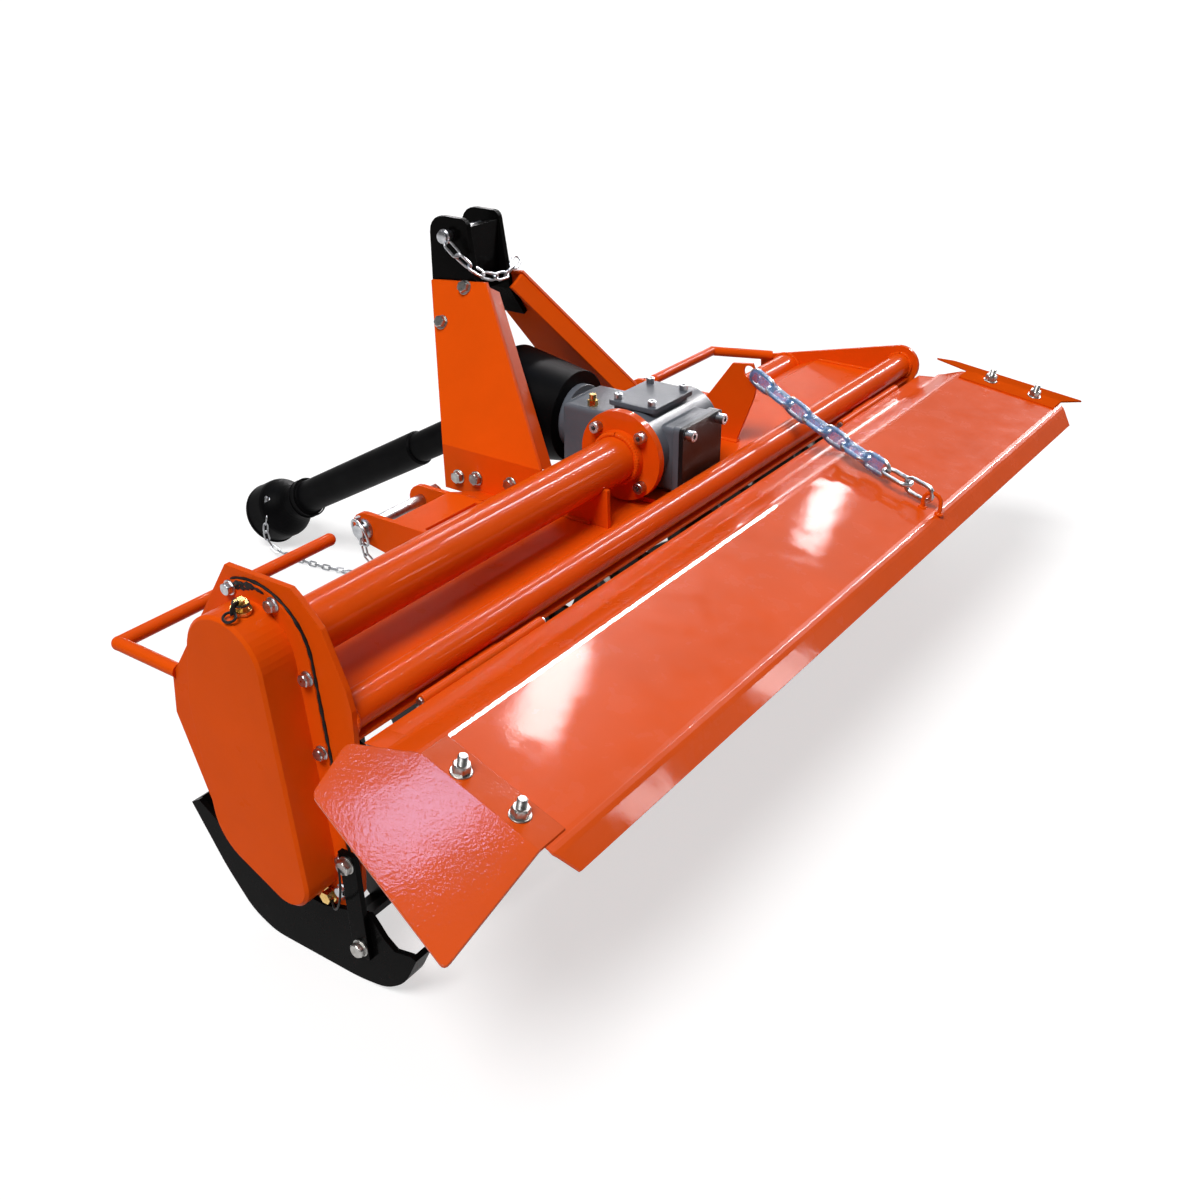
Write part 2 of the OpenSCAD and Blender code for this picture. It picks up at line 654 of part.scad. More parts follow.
// A flap: a flange on the tailgate and a wing that slopes down and out
fold_front = [-tail_x + tail_taper - 3, ridge[0] - 6];
fold_back = [-tail_x - 11, low_bend[0] + 6];
wing_lean = 0.2866;
fold_run = fold_back - fold_front;
wing_fall = tail_slope - wing_lean * fold_run[0] / fold_run[1];
function wing_z(p) = tail_top(fold_front[1]) + [wing_lean, wing_fall] * (p - fold_front);
wing_corner = 10;
wing_edge = [fold_front, [-x_out - 42, -168], [-x_out - 115, -183], [-flap_reach, fold_back[1]], fold_back];
wing_plan = bent(wing_edge, wing_corner);
flange_plan = [fold_front, fold_back, fold_back + [flap_flange_w, 0], fold_front + [flap_flange_w, 0]];

// A sheet whose plan and heights are given: two skins and a wall
module lofted(plan, heights, t) {
    n = len(plan);
    polyhedron(
        [for (level = [0, t], i = [0:n - 1]) [plan[i][0], plan[i][1], heights[i] + level]],
        concat([[for (i = [0:n - 1]) i]], [[for (i = [n - 1:-1:0]) n + i]],
            [for (i = [0:n - 1]) [i, n + i, n + (i + 1) % n, (i + 1) % n]]));
}

module flap(side) on_side(side) {
    lofted(wing_plan, [for (p = wing_plan) wing_z(p)], flap_t);
    lofted(flange_plan, [for (p = flange_plan) tail_top(p[1])], flap_t);
}

module flap_left() color(orange) placed() flap(left);

module flap_right() color(orange) placed() flap(right);

// Lift chain: it sags in an arc from the gusset to the lug on the tailgate
lug_wire_r = 3.5;
lug_r = 15;
lug_leg = 16;
lug_x = 216;
lug_y = -432;
lug_at = [lug_x, lug_y, tail_top(lug_y) + lug_leg];
hook_middle = [gusset_x + gusset_t / 2, hook_at[0], hook_at[1]];
hook_play = 2.5;
chord_dir = unit(lug_at - hook_middle);
chain_top = hook_middle + (hook_r - hook_play) * chord_dir;
lug_play = 1;
lug_reach = unit([0, chord_dir[1], chord_dir[2]]);
chain_end = lug_at - lug_r * lug_reach + (lug_wire_r + lug_play) * chord_dir;
chain_chord = norm(chain_end - chain_top);
// The arc's plane is upright: along is its chord, rise its normal
chain_along = unit(chain_end - chain_top);
chain_side = unit(cross(chain_along, [0, 0, 1]));
chain_rise = cross(chain_side, chain_along);
arc_r = chain_chord * chain_chord / (8 * chain_sag) + chain_sag / 2;
arc_half = asin(chain_chord / 2 / arc_r);
arc_step = 2 * arc_half / links;
arc_middle = (chain_top + chain_end) / 2 + (arc_r - chain_sag) * chain_rise;
chain_pitch = 2 * arc_r * sin(arc_step / 2);
module in_arc() multmatrix([for (k = [0:2]) [chain_along[k], chain_rise[k], chain_side[k],
    arc_middle[k]]]) children();

module half_ring(r, wire_r) rotate_extrude(angle = 180) translate([r, 0]) circle(r = wire_r);

module link(pitch) {
    bend = (link_w - wire_d) / 2;
    straight = pitch + wire_d + 2 * seat - 2 * bend;
    for (end = [0, 1]) rotate([0, 0, 180 * end]) {
        translate([0, straight / 2, 0]) half_ring(bend, wire_d / 2);
        translate([bend, straight / 2, 0]) rotate([90, 0, 0]) cylinder(r = wire_d / 2, h = straight);
    }
}

module lift_chain() color(zinc) placed() in_arc() for (i = [0:links - 1])
    rotate([0, 0, (i + 0.5) * arc_step - arc_half]) translate([0, -arc_r * cos(arc_step / 2), 0])
        rotate([90 * (i + 1), 0, 0]) rotate([0, 0, 90]) link(chain_pitch);

sleeve_wall = 1;
sleeve_r = link_w / 2 + 1;
module chain_sleeve() color(blue) placed() in_arc()
    rotate([0, 0, 0.8 * arc_step - arc_half - 90]) rotate_extrude(angle = sleeve_links * arc_step)
        translate([arc_r, 0]) difference() {
            circle(r = sleeve_r + sleeve_wall);
            circle(r = sleeve_r);
        }

module chain_lug() color(orange) placed() difference() {
    union() {
        translate(lug_at) rotate([90, 0, 90]) half_ring(lug_r, lug_wire_r);
        for (y = [lug_y - lug_r, lug_y + lug_r]) rod([lug_x, y, tail_top(y) - 1], [lug_x, y, lug_at[2]],
            lug_wire_r);
    }
    sheet_x(tail_line, -tail_t, lug_x - 20, lug_x + 20);
}

// Input and drive shaft
shield_r = 102;
shield_root_r = 80;
shield_wall = 4;
shield_y = gearbox_front_y + front_boss_t;
shield_len = 135;
module input_shield() color(black) placed() translate([gearbox_x, shield_y, drive_z]) rotate([-90, 0, 0])
    difference() {
        cylinder(r1 = shield_root_r, r2 = shield_r, h = shield_len);
        translate([0, 0, shield_wall])
            cylinder(r1 = shield_root_r - shield_wall, r2 = shield_r - shield_wall, h = shield_len);
        translate([0, 0, -1]) cylinder(r = 30, h = shield_wall + 2);
    }

cross_r = 8;
fork_in = 22;
fork_t = 11;
fork_h = 36;
module input_yoke() color(zinc) placed() translate([gearbox_x, 0, drive_z]) difference() {
    union() {
        translate([0, shield_y, 0]) rotate([-90, 0, 0]) cylinder(r = 20, h = joint_y - 34 - shield_y);
        translate([-fork_in - fork_t, joint_y - 44, -fork_h / 2]) cube([2 * fork_in + 2 * fork_t, 16,
            fork_h]);
        for (side = [left, right]) on_side(side) {
            translate([-fork_in - fork_t, joint_y - 44, -fork_h / 2]) cube([fork_t, 44, fork_h]);
            rod_x(fork_h / 2, -fork_in - fork_t, -fork_in, joint_y, 0);
        }
    }
    rod_x(cross_r + running_gap, -60, 60, joint_y, 0);
}

inner_start = 44;
inner_end = 500;
outer_start = 288;
collar_at = shaft_len - bell_len - 40;
collar_r = 20;
module shaft_joint() color(zinc) placed() on_shaft() {
    rotate([0, 90, 0]) translate([0, 0, -fork_in - fork_t]) cylinder(r = cross_r, h = 2 * (fork_in + fork_t));
    rotate([0, 90, 0]) translate([0, 0, -fork_in + 2]) cylinder(r = 15, h = 2 * fork_in - 4);
    cylinder(r = 13, h = inner_start + 6);
    translate([0, 0, inner_start - 6]) cylinder(r = guard_inner_r - 6 - seat, h = 60);
}

module shaft_guard_inner() color(black) placed() on_shaft() difference() {
    union() {
        translate([0, 0, inner_start]) cylinder(r = guard_inner_r, h = inner_end - inner_start);
        translate([0, 0, inner_start]) cylinder(r1 = guard_inner_r + 10, r2 = guard_inner_r, h = 40);
    }
    translate([0, 0, inner_start - 1]) cylinder(r = guard_inner_r - 6, h = inner_end);
}

// The outer guard is turned: a tube, a collar, a flare and a bell with a round rim
bell_wall = 5;
rim_round = 7;
flare_start = shaft_len - bell_len;
flare_len = 56;
flare_inset = 10;
flare_steps = 8;
flare_root_r = guard_outer_r + 2;
neck_ring_r = guard_outer_r + 6;
function flare(t) = [flare_root_r + (bell_r - flare_root_r) * (1 - cos(180 * t)) / 2,
    flare_start + flare_len * t];
guard_profile = concat(
    [[0, outer_start], [guard_outer_r - 3, outer_start], [guard_outer_r, outer_start + 5],
        [guard_outer_r, flare_start - 40], [neck_ring_r, flare_start - 36], [neck_ring_r, flare_start - 20],
        [flare_root_r, flare_start - 16]],
    [for (i = [0:flare_steps]) flare(i / flare_steps)],
    arc([bell_r - rim_round, shaft_len - rim_round], rim_round, 0, 90, 4),
    [[0, shaft_len]]);
module shaft_guard_outer() color(black) placed() on_shaft() difference() {
    rotate_extrude() polygon(guard_profile);
    translate([0, 0, outer_start - 1]) cylinder(r = guard_inner_r + running_gap,
        h = collar_at + 1 - outer_start);
    translate([0, 0, collar_at - 1]) cylinder(r = collar_r + running_gap, h = 80);
    translate([0, 0, flare_start + flare_inset])
        cylinder(r1 = guard_outer_r - bell_wall, r2 = bell_r - bell_wall, h = flare_len - flare_inset);
    translate([0, 0, flare_start + flare_len - 0.01]) cylinder(r = bell_r - bell_wall, h = bell_len);
}

yoke_body_r = 30;
module shaft_yoke() color(zinc) placed() on_shaft() difference() {
    union() {
        translate([0, 0, collar_at + 4]) cylinder(r = collar_r,
            h = shaft_len - spline_len - 8 - collar_at - 4);
        translate([0, 0, shaft_len - spline_len - 12]) cylinder(r = yoke_body_r, h = spline_len + 6);
    }
    translate([0, 0, shaft_len - spline_len - 6]) cylinder(r = spline_r, h = spline_len + 1);
}

hood();
front_tube();
rear_tube();
side_plate_left();
side_plate_right();
chain_case();
case_plugs();
bearing_hub();
drive_tube();
gearbox_housing();
gearbox_top_cover();
gearbox_rear_cover();
gearbox_saddle();
breather();
tube_saddle();
chain_gusset();
mast_plate_left();
mast_plate_right();
top_clevis();
top_link_pin();
hitch_bracket_left();
hitch_bracket_right();
hitch_pin_left();
hitch_pin_right();
guard_left();
guard_right();
skid_left();
skid_right();
skid_brace_left();
skid_brace_right();
hinge_straps();
hinge_pins();
lift_chain();
chain_sleeve();
input_shield();
input_yoke();
rotor_shaft();
tines();
tailgate_panel();
tailgate_barrels();
flap_left();
flap_right();
chain_lug();
shaft_joint();
shaft_guard_inner();
shaft_guard_outer();
shaft_yoke();
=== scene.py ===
"""Looks of a three-point-hitch rotary tiller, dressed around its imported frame.

The frame's nodes keep their shapes and get painted, plated and moulded finishes. The hardware that the frame
leaves out, such as bolts, screws, chains, rings, weld beads and sealant, is computed here as numpy surfaces.
Sizes are in millimetres in the machine's own axes (X to the right, Y towards the tractor from the rotor's axle,
Z up from the floor) and become metres when a surface is placed.
"""

import json
import logging
from dataclasses import dataclass, field
from enum import Enum
from typing import Sequence

import bmesh
import bpy
import numpy as np
from mathutils import Matrix, Vector

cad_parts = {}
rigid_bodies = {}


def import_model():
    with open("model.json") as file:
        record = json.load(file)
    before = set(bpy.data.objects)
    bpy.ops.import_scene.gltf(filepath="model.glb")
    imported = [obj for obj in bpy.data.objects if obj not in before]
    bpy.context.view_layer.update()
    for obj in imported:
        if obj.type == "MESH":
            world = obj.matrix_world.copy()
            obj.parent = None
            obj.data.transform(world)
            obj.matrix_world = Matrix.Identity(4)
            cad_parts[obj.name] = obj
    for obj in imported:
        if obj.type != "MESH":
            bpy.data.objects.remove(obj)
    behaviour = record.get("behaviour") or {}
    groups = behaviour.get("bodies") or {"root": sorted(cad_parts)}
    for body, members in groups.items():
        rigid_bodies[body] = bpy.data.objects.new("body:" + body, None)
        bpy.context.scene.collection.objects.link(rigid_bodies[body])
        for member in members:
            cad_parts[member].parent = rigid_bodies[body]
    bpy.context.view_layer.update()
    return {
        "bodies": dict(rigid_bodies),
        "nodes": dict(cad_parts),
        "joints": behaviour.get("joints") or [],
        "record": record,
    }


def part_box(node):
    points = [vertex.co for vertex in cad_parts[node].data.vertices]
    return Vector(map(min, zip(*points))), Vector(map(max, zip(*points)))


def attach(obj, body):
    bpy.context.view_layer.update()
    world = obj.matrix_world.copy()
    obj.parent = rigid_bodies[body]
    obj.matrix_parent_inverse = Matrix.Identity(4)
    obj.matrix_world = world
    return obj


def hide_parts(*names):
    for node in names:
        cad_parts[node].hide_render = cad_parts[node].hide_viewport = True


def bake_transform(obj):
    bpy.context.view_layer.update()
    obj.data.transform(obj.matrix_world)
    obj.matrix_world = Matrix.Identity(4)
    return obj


LOG = logging.getLogger("tiller")
MM = 0.001
WELD_WITHIN = 1e-6
EDGE_ANGLE, BEAD_ANGLE, CHAIN_ANGLE = 35.0, 60.0, 70.0
PHOTO_PIXELS = 1200

Array = np.ndarray
Point = tuple[float, float, float]
Socket = bpy.types.NodeSocket

LEFT, RIGHT = (-1.0, 0.0, 0.0), (1.0, 0.0, 0.0)
BACK, UP = (0.0, -1.0, 0.0), (0.0, 0.0, 1.0)


class Body(Enum):
    """The frame's bodies that carry hardware."""

    FRAME = "frame"
    ROTOR = "rotor"
    TAILGATE = "tailgate"
    SHAFT_OUTER = "shaft_outer"


class Slot(Enum):
    """The record's material slots."""

    ORANGE = "orange_paint"
    BLACK = "black_paint"
    PLASTIC = "black_plastic"
    CASTING = "gearbox_casting"
    ZINC = "zinc_steel"
    BRASS = "brass"
    SLEEVE = "blue_sleeve"


# Node trees

NOISE_ROUGHNESS = 0.55
NOISE_RANGE = (0.3, 0.7)
EDGE_SAMPLES = 4


class Nodes:
    """A node tree, built up in short steps."""

    def __init__(self, tree: bpy.types.NodeTree) -> None:
        """Take the tree that the nodes go into."""
        self.nodes, self.links = tree.nodes, tree.links

    def put(self, node: bpy.types.Node, name: str | int, value: Socket | float | tuple) -> None:
        """Link a socket into one of a node's inputs, or set the input to a constant."""
        if isinstance(value, Socket):
            self.links.new(value, node.inputs[name])
        else:
            node.inputs[name].default_value = value

    def add(self, kind: str, inputs: dict[str | int, Socket | float | tuple]) -> bpy.types.Node:
        """Add a node.

        Args:
            kind: Its type, after ShaderNode.
            inputs: What goes into its inputs, by name or number.

        Returns:
            The node.
        """
        node = self.nodes.new("ShaderNode" + kind)
        for name, value in inputs.items():
            self.put(node, name, value)
        return node

    def math(self, operation: str, first: Socket, second: Socket | float) -> Socket:
        """The result of an operation on two values."""
        node = self.add("Math", {0: first, 1: second})
        node.operation = operation
        return node.outputs[0]


class Tree(Nodes):
    """A material's node tree with a Principled shader."""

    def __init__(self, name: str) -> None:
        """Start an empty material of that name."""
        self.material = bpy.data.materials.new(name)
        self.material.use_nodes = True
        super().__init__(self.material.node_tree)
        self.shader = self.nodes["Principled BSDF"]
        self.coords = self.nodes.new("ShaderNodeTexCoord").outputs["Object"]

    def noise(self, scale: float, detail: float = 3.0) -> Socket:
        """A noise pattern on the object's own coordinates.

        Args:
            scale: Blobs to a metre.
            detail: Octaves of finer noise.

        Returns:
            The pattern's value socket.
        """
        inputs = {"Scale": scale, "Detail": detail, "Roughness": NOISE_ROUGHNESS, "Vector": self.coords}
        return self.add("TexNoise", inputs).outputs["Fac"]

    def ramp(self, value: Socket, *stops: tuple[float, Sequence[float]]) -> Socket:
        """Turn a value into a colour.

        Args:
            value: The pattern.
            stops: Pairs of a place from 0 to 1 and a linear colour.

        Returns:
            The colour socket.
        """
        node = self.add("ValToRGB", {"Fac": value})
        for element, (place, colour) in zip(node.color_ramp.elements, stops):
            element.position = place
            element.color = (*colour, 1.0)
        return node.outputs["Color"]

    def spread(self, value: Socket, low: float, high: float) -> Socket:
        """Stretch a pattern's middle range to run from low to high."""
        inputs = dict(zip(("From Min", "From Max"), NOISE_RANGE))
        return self.add("MapRange", inputs | {"To Min": low, "To Max": high, "Value": value}).outputs["Result"]

    def bump(self, height: Socket, depth: float, onto: Socket | None = None) -> Socket:
        """Raise a pattern as bump.

        Args:
            height: The pattern.
            depth: Its height in metres.
            onto: A normal that it is laid over.

        Returns:
            The normal socket.
        """
        node = self.add("Bump", {"Distance": depth, "Strength": 1.0, "Height": height})
        if onto is not None:
            self.put(node, "Normal", onto)
        return node.outputs["Normal"]

    def rounded_edges(self, radius: float) -> Socket | None:
        """The normal of the shape with its sharp edges rounded off, or none for no radius."""
        if not radius:
            return None
        node = self.add("Bevel", {"Radius": radius})
        node.samples = EDGE_SAMPLES
        return node.outputs["Normal"]

    def feed(self, name: str, value: Socket | float | tuple) -> None:
        """Link or set one of the shader's inputs."""
        self.put(self.shader, name, value)


@dataclass(frozen=True)
class Finish:
    """A named look for one of the record's slots."""

    name: str
    slot: Slot

    def build(self) -> bpy.types.Material:
        """Make the material.

        Returns:
            The finished material.
        """
        tree = Tree(self.name)
        self.shade(tree)
        return tree.material

    def shade(self, tree: Tree) -> None:
        """Set up the shader's inputs."""
        raise NotImplementedError


@dataclass(frozen=True)
class Paint(Finish):
    """A sprayed or powder-coated finish: a colour that drifts a little, a coat, and orange-peel bump."""

    colour: tuple[float, float, float]
    drift: float
    roughness: tuple[float, float]
    coat: float
    coat_roughness: float
    peel_depth: float
    peel_scale: float
    wave_depth: float
    edge: float
    specular: float
    drift_scale: float = 7.0
    gloss_scale: float = 24.0
    wave_scale: float = 9.0

    def shade(self, tree: Tree) -> None:
        """Set up the drift, the gloss, and the peel over slow waves."""
        colour = np.array(self.colour)
        low, high = colour * (1 - self.drift), np.minimum(colour * (1 + self.drift), 1.0)
        tree.feed("Base Color", tree.ramp(tree.noise(self.drift_scale, 5.0), (0.3, low), (0.7, high)))
        tree.feed("Roughness", tree.spread(tree.noise(self.gloss_scale, 6.0), *self.roughness))
        tree.feed("Specular IOR Level", self.specular)
        tree.feed("Coat Weight", self.coat)
        tree.feed("Coat Roughness", self.coat_roughness)
        wave = tree.bump(tree.noise(self.wave_scale, 2.0), self.wave_depth, tree.rounded_edges(self.edge))
        peel = tree.bump(tree.noise(self.peel_scale, 2.0), self.peel_depth, wave)
        tree.feed("Normal", peel)
        tree.feed("Coat Normal", peel)


@dataclass(frozen=True)
class Metal(Finish):
    """Bare or plated metal: a colour that drifts between two tints, and fine scratches in its gloss."""

    tint: tuple[float, float, float]
    other: tuple[float, float, float]
    roughness: tuple[float, float]
    grain: float
    tint_scale: float = 90.0
    scratch_scale: float = 260.0
    grain_scale: float = 700.0

    def shade(self, tree: Tree) -> None:
        """Set up the tints, the scratches and the grain."""
        tree.feed("Metallic", 1.0)
        tree.feed("Base Color", tree.ramp(tree.noise(self.tint_scale, 4.0), (0.35, self.tint), (0.68, self.other)))
        tree.feed("Roughness", tree.spread(tree.noise(self.scratch_scale, 4.0), *self.roughness))
        tree.feed("Normal", tree.bump(tree.noise(self.grain_scale, 2.0), self.grain))


@dataclass(frozen=True)
class Moulding(Finish):
    """Moulded plastic or rubber with a fine grain and a drift of gloss."""

    colour: tuple[float, float, float]
    roughness: tuple[float, float]
    grain_depth: float
    edge: float = 0.0
    specular: float = 0.2
    drift_scale: float = 30.0
    gloss_scale: float = 16.0
    grain_scale: float = 900.0

    def shade(self, tree: Tree) -> None:
        """Set up the drift, the gloss and the grain."""
        colour, drift = np.array(self.colour), tree.noise(self.drift_scale, 6.0)
        tree.feed("Base Color", tree.ramp(drift, (0.3, colour * 0.8), (0.72, colour * 1.3)))
        tree.feed("Roughness", tree.spread(tree.noise(self.gloss_scale, 6.0), *self.roughness))
        tree.feed("Specular IOR Level", self.specular)
        grain = tree.noise(self.grain_scale, 2.0)
        tree.feed("Normal", tree.bump(grain, self.grain_depth, tree.rounded_edges(self.edge)))


@dataclass(frozen=True)
class Film(Finish):
    """Thin translucent film, crinkled, that tints what shows through it."""

    tint: tuple[float, float, float]
    other: tuple[float, float, float]
    cover: tuple[float, float]
    roughness: tuple[float, float] = (0.12, 0.3)
    crinkle: float = 0.0003
    tint_scale: float = 60.0
    cover_scale: float = 110.0
    gloss_scale: float = 140.0
    crinkle_scale: float = 160.0

    def shade(self, tree: Tree) -> None:
        """Set up the tints, the cover and the crinkles."""
        tree.feed("Base Color", tree.ramp(tree.noise(self.tint_scale, 5.0), (0.35, self.tint), (0.7, self.other)))
        tree.feed("Alpha", tree.spread(tree.noise(self.cover_scale, 5.0), *self.cover))
        tree.feed("Roughness", tree.spread(tree.noise(self.gloss_scale, 4.0), *self.roughness))
        tree.feed("Normal", tree.bump(tree.noise(self.crinkle_scale, 4.0), self.crinkle))


ORANGE = Paint("powder_coat_orange", Slot.ORANGE, (0.80, 0.088, 0.003), 0.05, (0.26, 0.38), 0.03, 0.07,
               0.00006, 340.0, 0.0010, 0.0015, 0.018)
ORANGE_TUBE = Paint("powder_coat_orange_tube", Slot.ORANGE, (0.80, 0.088, 0.003), 0.05, (0.24, 0.34), 0.12, 0.015,
                    0.00002, 340.0, 0.0003, 0.0, 0.015)
ORANGE_SHEET = Paint("powder_coat_orange_sheet", Slot.ORANGE, (0.80, 0.088, 0.003), 0.05, (0.2, 0.3), 0.45, 0.045,
                     0.00003, 340.0, 0.0006, 0.0015, 0.05)
ORANGE_FLAP = Paint("powder_coat_orange_flap", Slot.ORANGE, (0.70, 0.080, 0.003), 0.06, (0.2, 0.3), 0.45, 0.05,
                    0.00012, 240.0, 0.0006, 0.0012, 0.05)
ORANGE_FAR_FLAP = Paint("powder_coat_orange_far_flap", Slot.ORANGE, (0.70, 0.076, 0.003), 0.05, (0.4, 0.5), 0.0, 0.07,
                        0.00006, 340.0, 0.0006, 0.0012, 0.0)
BLACK = Paint("gloss_black_paint", Slot.BLACK, (0.0025, 0.0024, 0.0024), 0.3, (0.22, 0.36), 0.03, 0.1,
              0.00006, 300.0, 0.0006, 0.0015, 0.015)
ROTOR_BLACK = Paint("rotor_black_paint", Slot.BLACK, (0.008, 0.008, 0.0085), 0.4, (0.35, 0.55), 0.1, 0.2,
                    0.0001, 240.0, 0.0006, 0.0012, 0.2)
CASTING = Paint("gearbox_blue_grey_paint", Slot.CASTING, (0.112, 0.124, 0.147), 0.12, (0.3, 0.46), 0.1, 0.16,
                0.00022, 260.0, 0.0012, 0.0035, 0.16)
# Painted shade: the gearbox's rear cover gets a near-black copy of the casting's paint, which stands in for the shade
# on its rear face.
CASTING_PAINTED_SHADE = Paint("gearbox_cover_painted_shade", Slot.CASTING, (0.010, 0.0098, 0.0105), 0.15, (0.28, 0.42), 0.2, 0.12,
                   0.00012, 260.0, 0.0004, 0.002, 0.15)
ZINC = Metal("bright_zinc", Slot.ZINC, (0.54, 0.55, 0.57), (0.37, 0.38, 0.40), (0.24, 0.42), 0.00003)
YELLOW_ZINC = Metal("aged_zinc", Slot.ZINC, (0.50, 0.50, 0.49), (0.34, 0.33, 0.31), (0.26, 0.44), 0.00004)
BRASS = Metal("turned_brass", Slot.BRASS, (0.78, 0.55, 0.21), (0.62, 0.40, 0.12), (0.18, 0.34), 0.00002)
PLASTIC = Moulding("black_guard_plastic", Slot.PLASTIC, (0.0025, 0.0025, 0.0028), (0.36, 0.52), 0.00005, 0.002, 0.035)
RUBBER = Moulding("black_sealant_rubber", Slot.PLASTIC, (0.009, 0.009, 0.009), (0.4, 0.62), 0.0001)
SLEEVE_FILM = Film("blue_sleeve_film", Slot.SLEEVE, (0.05, 0.25, 0.66), (0.22, 0.50, 0.88), (0.30, 0.54))


class Finishes:
    """The finishes' materials, each made once."""

    def __init__(self) -> None:
        """Start with none made."""
        self.made: dict[str, bpy.types.Material] = {}

    def material(self, finish: Finish) -> bpy.types.Material:
        """The material of a finish, made the first time it is asked for."""
        if finish.name not in self.made:
            self.made[finish.name] = finish.build()
        return self.made[finish.name]

    def apply(self, piece: bpy.types.Object, finish: Finish) -> None:
        """Give an object a finish in place of what it had."""
        piece.data.materials.clear()
        piece.data.materials.append(self.material(finish))


# Numpy surfaces


def frames_along(path: Array, up: Point, closed: bool) -> tuple[Array, Array, Array]:
    """Tangent, side and up vectors at each point of a path: side is up crossed with the tangent.

    Args:
        path: Points, one row each.
        up: A direction that is nowhere along the path.
        closed: Whether the last point leads back to the first.

    Returns:
        Three arrays of unit vectors.
    """
    if closed:
        ahead = np.roll(path, -1, 0) - np.roll(path, 1, 0)
    else:
        ahead = np.gradient(path, axis=0)
    tangent = ahead / np.linalg.norm(ahead, axis=1, keepdims=True)
    side = np.cross(np.asarray(up, float), tangent)
    side /= np.linalg.norm(side, axis=1, keepdims=True)
    return tangent, side, np.cross(tangent, side)


def swept(path: Array, section: Array, up: Point, closed: bool = False, grow: Array | None = None) -> Array:
    """A section carried along a path: each point is path + side times section's first + up times its second.

    Args:
        path: Points of the path.
        section: Points of the section in its own plane.
        up: Direction that fixes the section's turn.
        closed: Whether the path is a loop.
        grow: Factor of the section's size at each point of the path.

    Returns:
        A grid of points, path by section.
    """
    _, side, rise = frames_along(path, up, closed)
    size = np.ones(len(path)) if grow is None else grow
    across = side[:, None, :] * section[None, :, :1] + rise[:, None, :] * section[None, :, 1:]
    return path[:, None, :] + across * size[:, None, None]


def ring(radius: float, sides: int) -> Array:
    """A circle's points in its own plane, counter-clockwise."""
    angle = np.linspace(0, 2 * np.pi, sides, endpoint=False)
    return radius * np.stack([np.cos(angle), np.sin(angle)], 1)


def rounded_slab(width: float, height: float, corner: float, steps: int = 4) -> Array:
    """A rectangle with round corners, in its own plane: four quarter arcs in turn."""
    angle = np.concatenate([np.linspace(q, q + 1, steps) for q in range(4)]) * np.pi / 2
    middle = np.repeat([[1, 1], [-1, 1], [-1, -1], [1, -1]], steps, 0) * [width / 2 - corner, height / 2 - corner]
    return middle + corner * np.stack([np.cos(angle), np.sin(angle)], 1)


def turned(profile: Sequence[tuple[float, float]], sides: int = 24, flats: float = 0.0) -> Array:
    """A profile turned round the Z axis, with six flats where a wrench size is given.

    The radius at an angle is the profile's, or the hexagon's flats / cos(angle from the flat's middle) if less.

    Args:
        profile: Pairs of a radius and a height, from one pole to the other.
        sides: Points round the axis.
        flats: Half the distance across flats, or 0 for a round piece.

    Returns:
        A grid of points, profile by angle.
    """
    radius, height = np.array(profile, float).T
    angle = np.linspace(0, 2 * np.pi, sides, endpoint=False)
    reach = np.broadcast_to(radius[:, None], (len(radius), sides))
    if flats:
        from_middle = np.mod(angle, np.pi / 3) - np.pi / 6
        reach = np.minimum(reach, flats / np.cos(from_middle)[None, :])
    rise = np.broadcast_to(height[:, None], reach.shape)
    return np.stack([reach * np.cos(angle), reach * np.sin(angle), rise], 2)


def basis(axis: Point, toward: Point = UP) -> Array:
    """A turn that takes Z to the axis and X as near as it goes to another direction.

    Args:
        axis: Where Z goes.
        toward: Where X leans.

    Returns:
        A 3 by 3 matrix with the new axes as its columns.
    """
    z = np.asarray(axis, float) / np.linalg.norm(axis)
    x = np.asarray(toward, float) - z * np.dot(toward, z)
    if np.linalg.norm(x) < 1e-6:
        x = np.cross(z, [0.0, 1.0, 0.0]) if abs(z[1]) < 0.9 else np.cross(z, [1.0, 0.0, 0.0])
    x /= np.linalg.norm(x)
    return np.stack([x, np.cross(z, x), z], 1)


def moved(grid: Array, origin: Point, axis: Point = UP, toward: Point = RIGHT) -> Array:
    """A grid set down at a point, with its Z along an axis."""
    return grid @ basis(axis, toward).T + np.asarray(origin, float)


def sagging(start: Point, end: Point, sag: float, steps: int = 200) -> Array:
    """A line between two points that hangs below its chord by sag times 4 t (1 - t)."""
    t = np.linspace(0, 1, steps)[:, None]
    line = (1 - t) * np.asarray(start, float) + t * np.asarray(end, float)
    return line - 4 * sag * t * (1 - t) * np.array(UP)


def run_along(path: Array) -> Array:
    """The distance along a polyline at each of its points."""
    return np.concatenate([[0.0], np.cumsum(np.linalg.norm(np.diff(path, axis=0), axis=1))])


def sampled(path: Array, run: Array, want: Array) -> Array:
    """A polyline's points at the wanted distances.

    Args:
        path: Its points.
        run: The distance along it at each of them.
        want: The distances to sample.

    Returns:
        One row for each wanted distance.
    """
    return np.stack([np.interp(want, run, column) for column in path.T], 1)


def spaced(path: Array, count: int) -> tuple[Array, Array]:
    """Points at even distances along a path, each in the middle of its stretch.

    Args:
        path: Points of a fine polyline.
        count: Number of stretches.

    Returns:
        The points and the path's unit tangents there.
    """
    run = run_along(path)
    want, step = (np.arange(count) + 0.5) / count * run[-1], run[-1] / count / 2
    ahead = sampled(path, run, want + step) - sampled(path, run, want - step)
    return sampled(path, run, want), ahead / np.linalg.norm(ahead, axis=1, keepdims=True)


def placed(name: str, data: bpy.types.ID) -> bpy.types.Object:
    """A new object with that data, linked into the scene."""
    made = bpy.data.objects.new(name, data)
    bpy.context.scene.collection.objects.link(made)
    return made


